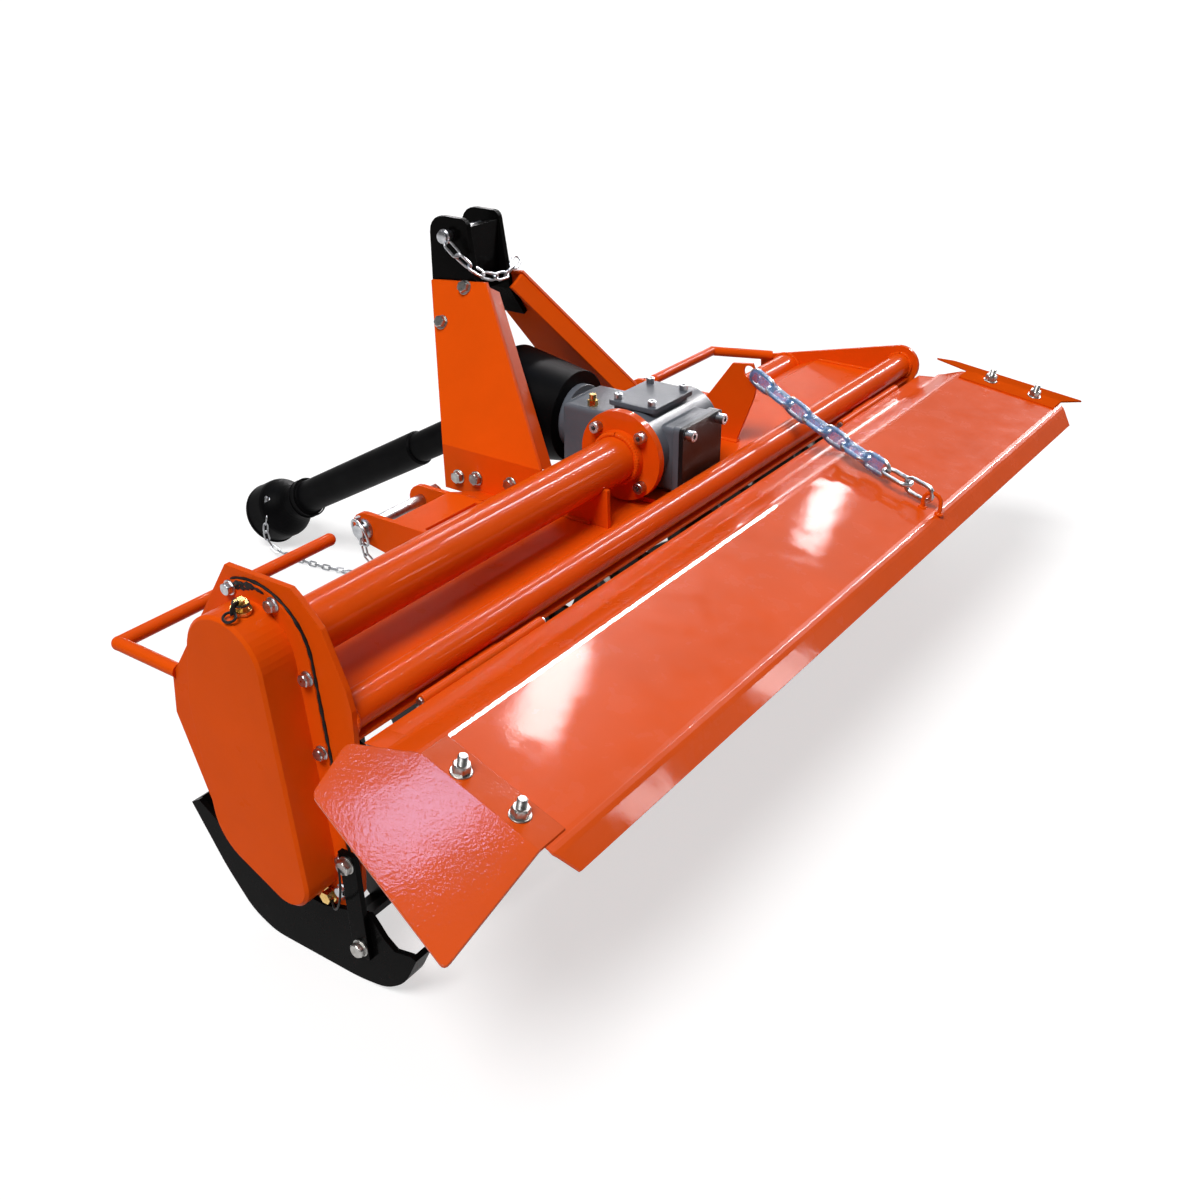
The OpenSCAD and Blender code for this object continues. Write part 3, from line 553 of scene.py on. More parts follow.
@dataclass
class Machine:
    """The machine's axes in the frame: millimetres from the rotor's axle become metres of the frame."""

    axle: Array

    @classmethod
    def from_frame(cls) -> "Machine":
        """Read the rotor's place from the frame."""
        low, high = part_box("rotor_shaft")
        return cls(np.array([0.0, (low.y + high.y) / 2, 0.0]))

    def metres(self, points: Array) -> Array:
        """Points of the machine's axes, in metres of the frame."""
        return points * MM + self.axle

    def box(self, node: str) -> tuple[Array, Array]:
        """A node's lowest and highest corners in the machine's millimetres."""
        low, high = ((np.array(corner) - self.axle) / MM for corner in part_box(node))
        return low, high


@dataclass
class Surfaces:
    """Grids gathered into one mesh of quads, in the machine's millimetres."""

    points: list[Array] = field(default_factory=list)
    quads: list[Array] = field(default_factory=list)
    count: int = 0

    def add(self, grid: Array, wrap_u: bool = False, wrap_v: bool = True) -> "Surfaces":
        """Add a grid's points and the quads between them.

        Args:
            grid: Points, u by v by 3.
            wrap_u: Whether the last row joins the first.
            wrap_v: Whether the last column joins the first.

        Returns:
            This gathering, to add more.
        """
        rows, columns = grid.shape[:2]
        u = np.arange(rows if wrap_u else rows - 1)[:, None]
        v = np.arange(columns if wrap_v else columns - 1)[None, :]
        over, along = (u + 1) % rows, (v + 1) % columns
        quads = np.stack([u * columns + v, over * columns + v, over * columns + along, u * columns + along], 2)
        self.points.append(grid.reshape(-1, 3))
        self.quads.append(quads.reshape(-1, 4) + self.count)
        self.count += rows * columns
        return self

    def add_rod(self, path: Array, section: Array, up: Point, grow: Array | None = None) -> "Surfaces":
        """Add a section swept along an open path, its ends closed to a point."""
        grid = swept(path, section, up, grow=grow)
        ends = [np.repeat(grid[k].mean(0)[None, None, :], grid.shape[1], 1) for k in (0, -1)]
        return self.add(np.concatenate([ends[0], grid, ends[1]], 0))

    def add_loop(self, path: Array, section: Array, up: Point) -> "Surfaces":
        """Add a section swept along a closed path."""
        return self.add(swept(path, section, up, closed=True), wrap_u=True)

    def add_copies(self, grid: Array, turns: Array, places: Array, wrap_u: bool) -> "Surfaces":
        """Add a grid once for each turn and place.

        Args:
            grid: Points of one copy.
            turns: Matrices, one for each copy.
            places: Origins, one for each copy.
            wrap_u: Whether the grid's rows close.

        Returns:
            This gathering, to add more.
        """
        for copy in np.einsum("uvk,njk->nuvj", grid, turns) + places[:, None, None, :]:
            self.add(copy, wrap_u)
        return self


@dataclass
class Workshop:
    """Makes finished pieces: a mesh with its finish, on the body that it rides on."""

    machine: Machine
    finishes: Finishes
    frame: dict

    def mesh(self, name: str, surfaces: Surfaces, sharp: float = EDGE_ANGLE) -> bpy.types.Object:
        """Turn gathered surfaces into an object at the origin, welded, with faces outwards.

        Args:
            name: The piece's name.
            surfaces: What it is made of.
            sharp: Edges over this angle in degrees stay sharp.

        Returns:
            The object.
        """
        points = self.machine.metres(np.concatenate(surfaces.points))
        mesh = bpy.data.meshes.new(name)
        mesh.from_pydata(points.tolist(), [], np.concatenate(surfaces.quads).tolist())
        shape = bmesh.new()
        shape.from_mesh(mesh)
        bmesh.ops.remove_doubles(shape, verts=shape.verts, dist=WELD_WITHIN)
        bmesh.ops.recalc_face_normals(shape, faces=shape.faces)
        shape.to_mesh(mesh)
        shape.free()
        mesh.shade_smooth()
        mesh.set_sharp_from_angle(angle=np.radians(sharp))
        return placed(name, mesh)

    def dress(self, piece: bpy.types.Object, finish: Finish) -> bpy.types.Object:
        """Give a piece its finish."""
        self.finishes.apply(piece, finish)
        LOG.info("piece %s: %s, %d faces", piece.name, finish.name, len(piece.data.polygons))
        return piece

    def piece(self, name: str, surfaces: Surfaces, finish: Finish, body: Body, sharp: float = EDGE_ANGLE) -> None:
        """Make a piece that rides on a body."""
        made = self.dress(self.mesh(name, surfaces, sharp), finish)
        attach(made, body.value)


# The frame's own nodes

NODE_FINISHES: dict[Finish, tuple[str, ...]] = {
    ORANGE: ("hood", "side_plate_left", "side_plate_right", "chain_case", "bearing_hub", "gearbox_saddle",
             "tube_saddle", "chain_gusset", "mast_plate_left", "mast_plate_right", "hitch_bracket_left",
             "hitch_bracket_right", "hinge_straps", "tailgate_barrels", "chain_lug"),
    ORANGE_FAR_FLAP: ("flap_right",),
    ORANGE_SHEET: ("tailgate_panel",),
    ORANGE_TUBE: ("front_tube", "rear_tube", "drive_tube", "guard_left", "guard_right"),
    ORANGE_FLAP: ("flap_left",),
    BLACK: ("skid_left", "skid_right", "skid_brace_left", "skid_brace_right", "top_clevis"),
    ROTOR_BLACK: ("rotor_shaft", "tines"),
    CASTING: ("gearbox_housing", "gearbox_top_cover"),
    # The rear cover takes the near-black painted shade instead of the casting's own blue-grey paint.
    CASTING_PAINTED_SHADE: ("gearbox_rear_cover",),
    BRASS: ("case_plugs", "breather"),
    ZINC: ("top_link_pin", "hitch_pin_left", "hitch_pin_right", "hinge_pins", "lift_chain", "input_yoke",
           "shaft_joint", "shaft_yoke"),
    PLASTIC: ("input_shield", "shaft_guard_inner", "shaft_guard_outer"),
    SLEEVE_FILM: ("chain_sleeve",),
}


def paint_nodes(nodes: dict[str, bpy.types.Object], finishes: Finishes) -> None:
    """Give each of the frame's nodes its finish.

    Args:
        nodes: The frame's objects by name.
        finishes: Where the materials come from.
    """
    for finish, names in NODE_FINISHES.items():
        for name in names:
            finishes.apply(nodes[name], finish)
            LOG.info("node %s: %s", name, finish.name)


# Fasteners, chains and beads

HEAD_CHAMFER, HEAD_TOP, BOLT_SHARE = 0.16, 0.47, 0.31
WASHER_EDGE, THREAD_DEPTH, THREAD_END = 0.5, 0.7, 1.2
SOCKET_FLOOR, CAP_EDGE = 0.4, 1.0
WIRE_SIDES, BEAD_SIDES = 10, 8
BEAD_WAVE, BEAD_DEPTH = 4.5, 0.22
BEAD_POINTS, BEAD_STRIDE = 720, 144.0


@dataclass(frozen=True)
class HexHead:
    """A hexagon head, or a nut with the thread's end standing out of it, on a washer."""

    flats: float
    height: float
    washer: float = 0.0
    stud: float = 0.0
    washer_t: float = 2.2
    thread: float = 1.5

    def grids(self) -> list[Array]:
        """The head's surfaces, standing on the plane Z = 0.

        Returns:
            Grids that wrap round the Z axis.
        """
        seat = self.washer_t if self.washer else 0.0
        top, corner = seat + self.height, self.flats / np.sqrt(3)
        chamfer = top - HEAD_CHAMFER * self.height
        head = [(0, seat), (corner, seat), (corner, chamfer), (self.flats * HEAD_TOP, top), (0, top)]
        made = [turned(head, 24, self.flats / 2)]
        if self.washer:
            side, flat = seat - WASHER_EDGE, self.washer - WASHER_EDGE
            made.append(turned([(0, 0), (self.washer, 0), (self.washer, side), (flat, seat), (0, seat)]))
        if self.stud:
            bolt, end = self.flats * BOLT_SHARE, top + self.stud
            turns = range(2 * int(self.stud / self.thread))
            flanks = [(bolt - THREAD_DEPTH * (k % 2), top + k * self.thread / 2) for k in turns]
            made.append(turned(flanks + [(bolt - THREAD_END, end), (0, end)], 16))
        return made


@dataclass(frozen=True)
class SocketHead:
    """A round cap screw with a hexagon socket."""

    radius: float
    height: float
    socket: float

    def grids(self) -> list[Array]:
        """The head's surface, standing on the plane Z = 0."""
        floor, side = self.height * SOCKET_FLOOR, self.height - CAP_EDGE
        outer = turned([(0, 0), (self.radius, 0), (self.radius, side), (self.radius - CAP_EDGE, self.height)])
        recess = turned([(self.socket, self.height), (self.socket, floor), (0, floor)], flats=self.socket / 2)
        return [np.concatenate([outer, recess], 0)]


Fastener = HexHead | SocketHead

M8 = HexHead(13.0, 6.0, 8.5)
M10 = HexHead(15.0, 7.5, 10.0)
M12 = HexHead(19.0, 8.5, 12.5)
M12_NUT = HexHead(20.0, 11.0, 13.5, 12.0)
TINE_BOLT = HexHead(17.0, 7.0)
FLANGE_SCREW = SocketHead(9.5, 14.0, 8.0)
COVER_SCREW = SocketHead(9.0, 14.0, 8.0)
LID_SCREW = SocketHead(7.0, 10.0, 6.0)


def stadium(length: float, width: float, steps: int = 9) -> Array:
    """A closed path of two half circles and two straights in the XY plane, long in X."""
    angle = np.linspace(-np.pi / 2, np.pi / 2, steps)
    cap = width / 2 * np.stack([np.cos(angle), np.sin(angle), 0 * angle], 1) + [(length - width) / 2, 0, 0]
    return np.concatenate([cap, cap * [-1, -1, 1]], 0)


def circle(middle: Point, axis: Point, radius: float, steps: int = 48) -> Array:
    """A closed ring of points round an axis."""
    flat = np.concatenate([ring(radius, steps), np.zeros((steps, 1))], 1)
    return moved(flat, middle, axis)


def bezier(points: Sequence[Point], steps: int = 60) -> Array:
    """A curve with the given end and control points, by repeated halfway mixing at each t."""
    t = np.linspace(0, 1, steps)[:, None]
    rows = [np.asarray(p, float) + 0 * t for p in points]
    while len(rows) > 1:
        rows = [(1 - t) * a + t * b for a, b in zip(rows, rows[1:])]
    return rows[0]


def straight(start: Point, end: Point, step: float = 1.25) -> Array:
    """Points at even steps from one point to another."""
    a, b = np.asarray(start, float), np.asarray(end, float)
    count = max(3, int(np.linalg.norm(b - a) / step))
    return a + np.linspace(0, 1, count)[:, None] * (b - a)


def belt(circles: Sequence[tuple[float, float, float]], grow: float, steps: int = 240) -> Array:
    """The outline of a belt round some circles: for each direction, the circle's point that lies farthest out.

    Args:
        circles: The middle's two coordinates and the radius of each.
        grow: How far the outline lies outside the belt.
        steps: Number of directions.

    Returns:
        Points of the outline, at even distances.
    """
    angle = np.linspace(0, 2 * np.pi, steps, endpoint=False)
    out = np.stack([np.cos(angle), np.sin(angle)], 1)
    middles, radii = np.array(circles)[:, :2], np.array(circles)[:, 2]
    farthest = np.argmax(out @ middles.T + radii, 1)
    points = middles[farthest] + (radii[farthest] + grow)[:, None] * out
    points = np.concatenate([points, points[:1]], 0)
    run = run_along(points)
    return sampled(points, run, np.linspace(0, run[-1], steps * 2, endpoint=False))


def around(x: float, middle: Array, radius: float, degrees: Sequence[float]) -> list[Point]:
    """Places round the X axis through a middle, at the given angles from the Y axis."""
    return [(x, middle[1] + radius * np.cos(a), middle[2] + radius * np.sin(a)) for a in np.radians(degrees)]


def ripple(path: Array, wave: float, depth: float) -> Array:
    """Factors along a path that swell and shrink like a weld's ripples, with a slow drift over them."""
    run = run_along(path)
    slow = np.sin(run / wave * 0.83) * np.sin(run / wave * 0.31 + 1.0)
    return 1 + depth * np.abs(np.sin(np.pi * run / wave)) + 0.8 * depth * slow


class Hardware(Surfaces):
    """Surfaces with the moves that hardware needs: fasteners, chains, rings and weld beads."""

    def fasten(self, kind: Fastener, places: Sequence[Point], axis: Point) -> "Hardware":
        """Set a fastener down at each place, its head along the axis."""
        for turn, place in enumerate(places):
            toward = np.cross(axis, [np.cos(turn), 0.3, np.sin(turn)])
            for grid in kind.grids():
                self.add(moved(grid, place, axis, toward))
        return self

    def hang_chain(self, path: Array, wire: float, width: float, pitch: float, roll: float = 0.0) -> "Hardware":
        """Thread links along a path, each turned a quarter from the last.

        Args:
            path: The chain's middle line.
            wire: Thickness of the wire.
            width: Width of a link.
            pitch: Wanted distance from link to link.
            roll: Turn of the first link about the path, in degrees.

        Returns:
            This gathering, to add more.
        """
        whole = run_along(path)[-1]
        count = max(2, round(whole / pitch))
        places, along = spaced(path, count)
        link = swept(stadium(whole / count + wire, width - wire), ring(wire / 2, WIRE_SIDES), UP, closed=True)
        side = np.cross(UP, along)
        side /= np.linalg.norm(side, axis=1, keepdims=True)
        rise = np.cross(along, side)
        turn = np.radians(roll + 90 * np.arange(count))[:, None]
        across = np.cos(turn) * side + np.sin(turn) * rise
        turns = np.stack([along, across, np.cross(along, across)], 2)
        return self.add_copies(link, turns, places, wrap_u=True)

    def add_ring(self, middle: Point, axis: Point, radius: float, wire: float) -> "Hardware":
        """Add a wire ring round an axis."""
        return self.add_loop(circle(middle, axis, radius), ring(wire / 2, WIRE_SIDES), axis)

    def weld(self, path: Array, size: float, up: Point) -> "Hardware":
        """Lay a rippled bead along a path."""
        return self.add_rod(path, ring(size, BEAD_SIDES), up, ripple(path, BEAD_WAVE, BEAD_DEPTH))

    def weld_round(self, middle: Point, radius: float, size: float, span: tuple[float, float] = (0.0, 360.0),
                   axis: Point = RIGHT) -> "Hardware":
        """Lay a rippled bead round an axis, over a span of degrees."""
        low, high = (int(s * BEAD_POINTS / 360) for s in span)
        whole = circle(middle, axis, radius, BEAD_POINTS)
        return self.weld(whole[np.arange(low, high, max(1, int(BEAD_STRIDE / radius))) % BEAD_POINTS], size, axis)


@dataclass
class Assembly:
    """A group of hardware that is made in one place."""

    shop: Workshop

    def box(self, node: str) -> tuple[Array, Array]:
        """A node's lowest and highest corners in the machine's millimetres."""
        return self.shop.machine.box(node)

    def middle(self, node: str) -> Array:
        """The middle of a node's box in the machine's millimetres."""
        low, high = self.box(node)
        return (low + high) / 2


@dataclass
class CaseHardware(Assembly):
    """Bolts, sealant, plug straps and the drain's cable on the chain case."""

    circles: tuple[tuple[float, float, float], ...] = ((10.0, 462.0, 66.0), (13.0, 385.0, 76.0), (-3.0, 234.0, 76.0),
                                                        (-50.0, 168.0, 38.0))
    rim_w: float = 24.0
    rim_t: float = 5.0
    seal_ends: tuple[tuple[float, float], ...] = ((44.0, 546.0), (-78.0, 130.0))
    smears: tuple[tuple[float, float, float], ...] = ((4.5, 62.0, 10.0), (10.0, 34.0, 7.0))
    bolt_marks: tuple[tuple[float, float], ...] = (
        (48.0, 543.0), (-30.0, 536.0), (-80.0, 448.0), (-88.0, 347.0), (-102.0, 190.0), (-96.0, 139.0), (-20.0, 120.0),
        (52.0, 150.0), (90.0, 240.0), (103.0, 350.0), (112.0, 450.0))

    def build(self) -> None:
        """Make the case's hardware."""
        face = self.box("side_plate_left")[0][0]
        middle = belt(self.circles, self.rim_w * 0.64)
        places = [(face - self.rim_t, *middle[self.nearest(middle, mark)]) for mark in self.bolt_marks]
        bolts = Hardware().fasten(M10, places, LEFT)
        self.shop.piece("case_bolts", bolts, ZINC, Body.FRAME)
        self.sealant(face)
        self.straps(face)

    @staticmethod
    def nearest(outline: Array, mark: tuple[float, float]) -> int:
        """Number of the outline's point that is nearest to a mark."""
        return int(np.argmin(np.linalg.norm(outline - mark, axis=1)))

    def sealant(self, face: float) -> None:
        """A thin line of black sealant down the rim's rear edge, squeezed out and smeared near the top."""
        edge = belt(self.circles, self.rim_w + 0.6)
        top, foot = (self.nearest(edge, mark) for mark in self.seal_ends)
        line = np.insert(edge[top:foot], 0, face - 1.0, 1)
        run = np.linspace(0, 1, len(line))
        uneven = 0.22 * np.sin(61 * run) * np.sin(29 * run + 2) + 0.16 * np.sin(173 * run)
        rubber = Hardware().add_rod(line, ring(1.7, WIRE_SIDES) * [1.0, 1.5], RIGHT, 1 + uneven)
        for inset, length, wide in self.smears:
            patch = np.insert(belt(self.circles, self.rim_w - inset)[top:foot], 0, face - self.rim_t - 0.2, 1)
            patch = patch[: int(np.searchsorted(run_along(patch)[1:], length))]
            at = np.linspace(0, 1, len(patch))
            ragged = np.sin(np.pi * at) ** 0.6 * (0.75 + 0.25 * np.sin(17 * at + inset) + 0.15 * np.sin(41 * at))
            rubber.add_rod(patch, rounded_slab(wide, 1.4, 0.6), RIGHT, np.maximum(ragged, 0.05))
        self.shop.piece("case_sealant", rubber, RUBBER, Body.FRAME, BEAD_ANGLE)

    def straps(self, face: float) -> None:
        """The filler's strap with its ring on the case's top wall, and the drain's thin cable."""
        filler = np.array([face - 30.0, -1.5, self.box("case_plugs")[1][2] - 7])
        hang = np.array([face - 53.0, -7.0, 531.5])
        strap = bezier([filler, filler + [-12, -2, 6], hang + [6, 0, 10], hang + [6, 0, 1]])
        rubber = Hardware().add_rod(strap, rounded_slab(8.0, 2.0, 0.9), (0.2, 1.0, 0.2))
        rubber.add_ring(tuple(hang), (-0.35, -0.2, 1.0), 7.5, 3.4)
        rubber.add_ring(tuple(filler), (0.0, -0.15, 1.0), 9.5, 2.6)
        drain = np.array([face - 9.0, -78.0, 122.0])
        rim = np.array([face - 12.0, -103.0, 190.0])
        loop = [drain, drain + [-26, -20, -4], drain + [-34, -54, 6], rim + [-26, -34, 6], rim + [-12, 0, 26], rim]
        rubber.add_rod(bezier(loop), ring(1.6, BEAD_SIDES), (0.3, 0.2, 1.0))
        self.shop.piece("case_straps", rubber, RUBBER, Body.FRAME)


@dataclass
class DriveHardware(Assembly):
    """Screws on the drive tube's flange and on the gearbox covers, and the gearbox's side cap."""

    flange_t: float = 14.0
    bolt_circle: float = 61.0
    cap_circle: float = 44.0
    cap_t: float = 7.0
    cover_inset: float = 13.0

    def build(self) -> None:
        """Make the drive line's hardware."""
        middle, end = self.middle("drive_tube"), self.box("drive_tube")[1][0] - self.flange_t
        screws = Hardware().fasten(FLANGE_SCREW, around(end, middle, self.bolt_circle, range(45, 360, 90)), LEFT)
        cap_x = self.box("gearbox_housing")[1][0]
        cap = turned([(0, 0), (56, 0), (56, 5), (54, self.cap_t), (30, self.cap_t), (27, 11), (0, 12)], 48)
        casting = Hardware().add(moved(cap, (cap_x, middle[1], middle[2]), RIGHT))
        screws.fasten(M8, around(cap_x + self.cap_t, middle, self.cap_circle, range(0, 360, 60)), RIGHT)
        screws.fasten(LID_SCREW, self.corners("gearbox_top_cover", 2, 1), UP)
        screws.fasten(COVER_SCREW, self.corners("gearbox_rear_cover", 1, 0), BACK)
        self.shop.piece("drive_screws", screws, ZINC, Body.FRAME)
        self.shop.piece("gearbox_side_cap", casting, CASTING, Body.FRAME)

    def corners(self, node: str, axis: int, side: int) -> list[Point]:
        """Four places on a cover's outer face, set in from its corners.

        Args:
            node: The cover.
            axis: The axis that the face looks along.
            side: 1 for the face at the high end of that axis, 0 for the low end.

        Returns:
            The four places.
        """
        ends = self.box(node)
        inner = (ends[0] + self.cover_inset, ends[1] - self.cover_inset)
        first, second = [k for k in range(3) if k != axis]
        places = np.repeat(ends[side][None, :], 4, 0)
        for place, (a, b) in zip(places, ((0, 0), (0, 1), (1, 0), (1, 1))):
            place[first], place[second] = inner[a][first], inner[b][second]
        return [tuple(place) for place in places]


@dataclass
class HitchHardware(Assembly):
    """Mast and clevis bolts, the brackets' webs, pin heads, linch rings and keeper chains."""

    lean: float = 27.7
    clevis_marks: tuple[tuple[float, float], ...] = ((363.0, 268.0), (393.0, 202.0))
    foot_marks: tuple[tuple[float, float], ...] = ((290.0, 378.0), (250.0, 384.0), (176.0, 391.0))
    bend_z: float = 430.0
    web_y: tuple[float, float] = (181.0, 243.0)
    web_z: tuple[float, float] = (384.0, 357.0)
    web_t: float = 7.6

    def build(self) -> None:
        """Make the hitch's hardware."""
        left, right = self.box("mast_plate_left")[0][0], self.box("mast_plate_right")[1][0]
        lean = np.radians(self.lean)
        bolts = Hardware()
        for foot_x, side in ((left, -1.0), (right, 1.0)):
            bolts.fasten(M12, [(foot_x, y, z) for y, z in self.foot_marks], (side, 0.0, 0.0))
            up = np.array([-side * np.sin(lean), 0.0, np.cos(lean)])
            places = [tuple(np.array([foot_x, y, self.bend_z]) + rise * up) for y, rise in self.clevis_marks]
            bolts.fasten(M12, places, (side * np.cos(lean), 0.0, np.sin(lean)))
        self.shop.piece("mast_bolts", bolts, YELLOW_ZINC, Body.FRAME)
        self.webs(left, right)
        self.top_pin()
        for name, side in (("hitch_pin_left", -1.0), ("hitch_pin_right", 1.0)):
            self.lower_pin(name, side)

    def webs(self, left: float, right: float) -> None:
        """The brackets' top plates carried on, sloping down, to the mast's feet.

        Args:
            left: X of the left foot's outer face.
            right: X of the right foot's outer face.
        """
        sheet = Hardware()
        inner = self.box("hitch_bracket_left")[1][0], self.box("hitch_bracket_right")[0][0]
        y, wide = sum(self.web_y) / 2, self.web_y[1] - self.web_y[0]
        for start, end in zip(inner, (left, right)):
            high, low = ((x, y, z) for x, z in zip((start, end), self.web_z))
            sheet.add_rod(straight(high, low), rounded_slab(wide, self.web_t, 0.8), UP)
        self.shop.piece("bracket_webs", sheet, ORANGE, Body.FRAME)

    def top_pin(self) -> None:
        """The top link pin's head, its linch ring and the chain that keeps it."""
        (left, _, _), (right, _, _) = self.box("top_link_pin")
        _, y, z = self.middle("top_link_pin")
        metal = Hardware()
        head = turned([(0, 0), (13, 0), (13, 3), (10.5, 5), (10.5, 9), (7, 11), (0, 11)])
        metal.add(moved(head, (left + 3, y, z), LEFT))
        metal.add_ring((right - 7, y, z - 14), (1.0, 0.15, 0.2), 19.0, 4.0)
        metal.add_rod(straight((right - 7, y, z - 15), (right - 7, y, z + 20)), ring(3.5, WIRE_SIDES), RIGHT)
        clevis = self.box("top_clevis")[0][1]
        path = bezier([(left - 6, y - 12, z - 8), (left + 6, clevis - 12, z - 74), (left + 66, clevis - 22, z - 84),
                       (right - 2, clevis + 2, z - 52)], 160)
        metal.hang_chain(path, 4.6, 19.0, 26.0, 35.0)
        self.shop.piece("top_pin_keeper", metal, ZINC, Body.FRAME)

    def lower_pin(self, name: str, side: float) -> None:
        """A lower pin's stepped end with its linch pin, ring and short chain, and the head at its other end."""
        _, y, z = self.middle(name)
        inner, outer = sorted((corner[0] for corner in self.box(name)), key=lambda x: side * x)
        metal = Hardware()
        step = turned([(0, -8), (17, -8), (17, 0), (15, 3), (0, 3)])
        metal.add(moved(step, (outer - side * 14, y, z), (side, 0.0, 0.0)))
        for grid in HexHead(30.0, 14.0).grids():
            metal.add(moved(grid, (inner + side * 2, y, z), (-side, 0.0, 0.0)))
        pin_x = outer - side * 6
        metal.add_rod(straight((pin_x, y + 2, z + 24), (pin_x, y - 2, z - 24)), ring(4.5, WIRE_SIDES), RIGHT)
        metal.add_ring((pin_x + side * 3, y - 3, z - 2), (0.95, 0.3 * side, 0.25), 23.0, 4.6)
        ear = outer - side * 20
        path = bezier([(pin_x, y - 6, z - 24), (pin_x + side * 2, y - 8, z - 62), (ear, y - 40, z - 64),
                       (ear, y - 56, z - 30)], 120)
        metal.hang_chain(path, 3.4, 12.0, 15.5)
        self.shop.piece(name + "_keeper", metal, ZINC, Body.FRAME)


@dataclass
class TailgateHardware(Assembly):
    """Nuts that hold the flaps, and the sheet's corners beside the hinge."""

    flap_marks: tuple[tuple[float, float], ...] = ((821.0, -302.0), (829.0, -391.0))
    flap_t: float = 3.0
    leaf_rise: float = 5.7
    corners_x: tuple[tuple[float, float], ...] = ((-826.0, -789.0), (789.0, 808.0))
    corner_reach: tuple[float, float] = (11.0, 46.0)
    plane: tuple[float, float, float, float] = (-97.0, 24.5, -297.0, -13.5)

    def top(self, y: float) -> float:
        """Height of the tailgate's top face: a line between its two bends, given from the hinge."""
        _, hinge_y, hinge_z = self.middle("hinge_pins")
        ridge_y, ridge_z, bend_y, bend_z = self.plane
        return hinge_z + ridge_z + (y - hinge_y - ridge_y) * (ridge_z - bend_z) / (ridge_y - bend_y)

    def build(self) -> None:
        """Make the tailgate's hardware."""
        nuts = Hardware()
        normal = (0.0, self.top(0.0) - self.top(1.0), 1.0)
        for side in (-1.0, 1.0):
            places = [(side * x, y, self.top(y) + self.flap_t) for x, y in self.flap_marks]
            nuts.fasten(M12_NUT, places, normal)
        self.shop.piece("flap_nuts", nuts, YELLOW_ZINC, Body.TAILGATE)
        self.corners()

    def corners(self) -> None:
        """The leaf's outer corners beside the hinge, which close the gap to the side plates."""
        hinge = self.middle("hinge_pins") * [0.0, 1.0, 1.0] + [0.0, 0.0, self.flap_t / 2]
        rise = np.radians(self.leaf_rise)
        along = np.array([0.0, -np.cos(rise), np.sin(rise)])
        sheet = Hardware()
        for start, end in self.corners_x:
            middle = hinge + [(start + end) / 2, 0.0, 0.0]
            ends = (tuple(middle + reach * along) for reach in self.corner_reach)
            sheet.add_rod(straight(*ends), rounded_slab(end - start, self.flap_t, 1.0), UP)
        self.shop.piece("tail_corners", sheet, ORANGE_SHEET, Body.TAILGATE)


@dataclass
class SkidHardware(Assembly):
    """Bolts of the skids' braces, and the bearing hub's bolts and cap."""

    brace_inset: tuple[float, float] = (5.0, 17.0)
    hub_circle: float = 52.0

    def build(self) -> None:
        """Make the braces' and the hub's hardware."""
        bolts = Hardware()
        for name, side in (("skid_brace_left", -1.0), ("skid_brace_right", 1.0)):
            low, high = self.box(name)
            face = low[0] if side < 0 else high[0]
            y, (over, in_z) = (low[1] + high[1]) / 2, self.brace_inset
            bolts.fasten(M12, [(face, y - over, low[2] + in_z), (face, y + over, high[2] - in_z)], (side, 0.0, 0.0))
        hub, middle = self.box("bearing_hub"), self.middle("bearing_hub")
        bolts.fasten(M8, around(hub[0][0] + 12, middle, self.hub_circle, range(30, 390, 60)), RIGHT)
        cap = turned([(0, 0), (37, 0), (37, 3), (34, 5), (0, 6)], 48)
        bolts.add(moved(cap, (hub[1][0], middle[1], middle[2]), RIGHT))
        self.shop.piece("skid_bolts", bolts, YELLOW_ZINC, Body.FRAME)


@dataclass
class RotorHardware(Assembly):
    """The bolts that hold the tines, and the beads between the flanges and the rotor's tube."""

    flanges: int = 7
    tines: int = 6
    stagger: float = 17.0
    end_gap: float = 110.0
    flange_t: float = 8.0
    tine_t: float = 8.0
    tube_r: float = 38.0
    bolt_radii: tuple[float, ...] = (54.0, 72.0)

    def build(self) -> None:
        """Make the rotor's hardware."""
        first = self.box("side_plate_left")[1][0] + self.end_gap
        axle = (0.0, 0.0, self.middle("rotor_shaft")[2])
        near, far = self.flange_t / 2, self.flange_t / 2 + self.tine_t
        bolts, beads = Hardware(), Hardware()
        for k in range(self.flanges):
            x = first - 2 * first * k / (self.flanges - 1)
            for side in (-1.0, 1.0):
                beads.weld_round((x + side * (near + 1), 0.0, axle[2]), self.tube_r + 0.5, 3.0)
            for i in range(self.tines):
                turn = 90 + i * 360 / self.tines + k * self.stagger
                side = -1.0 if i % 2 else 1.0
                for radius in self.bolt_radii:
                    bolts.fasten(TINE_BOLT, around(x - side * far, axle, radius, [turn]), (-side, 0.0, 0.0))
                    bolts.fasten(TINE_BOLT, around(x + side * near, axle, radius, [turn]), (side, 0.0, 0.0))
        self.shop.piece("tine_bolts", bolts, YELLOW_ZINC, Body.ROTOR)
        self.shop.piece("rotor_beads", beads, ROTOR_BLACK, Body.ROTOR)


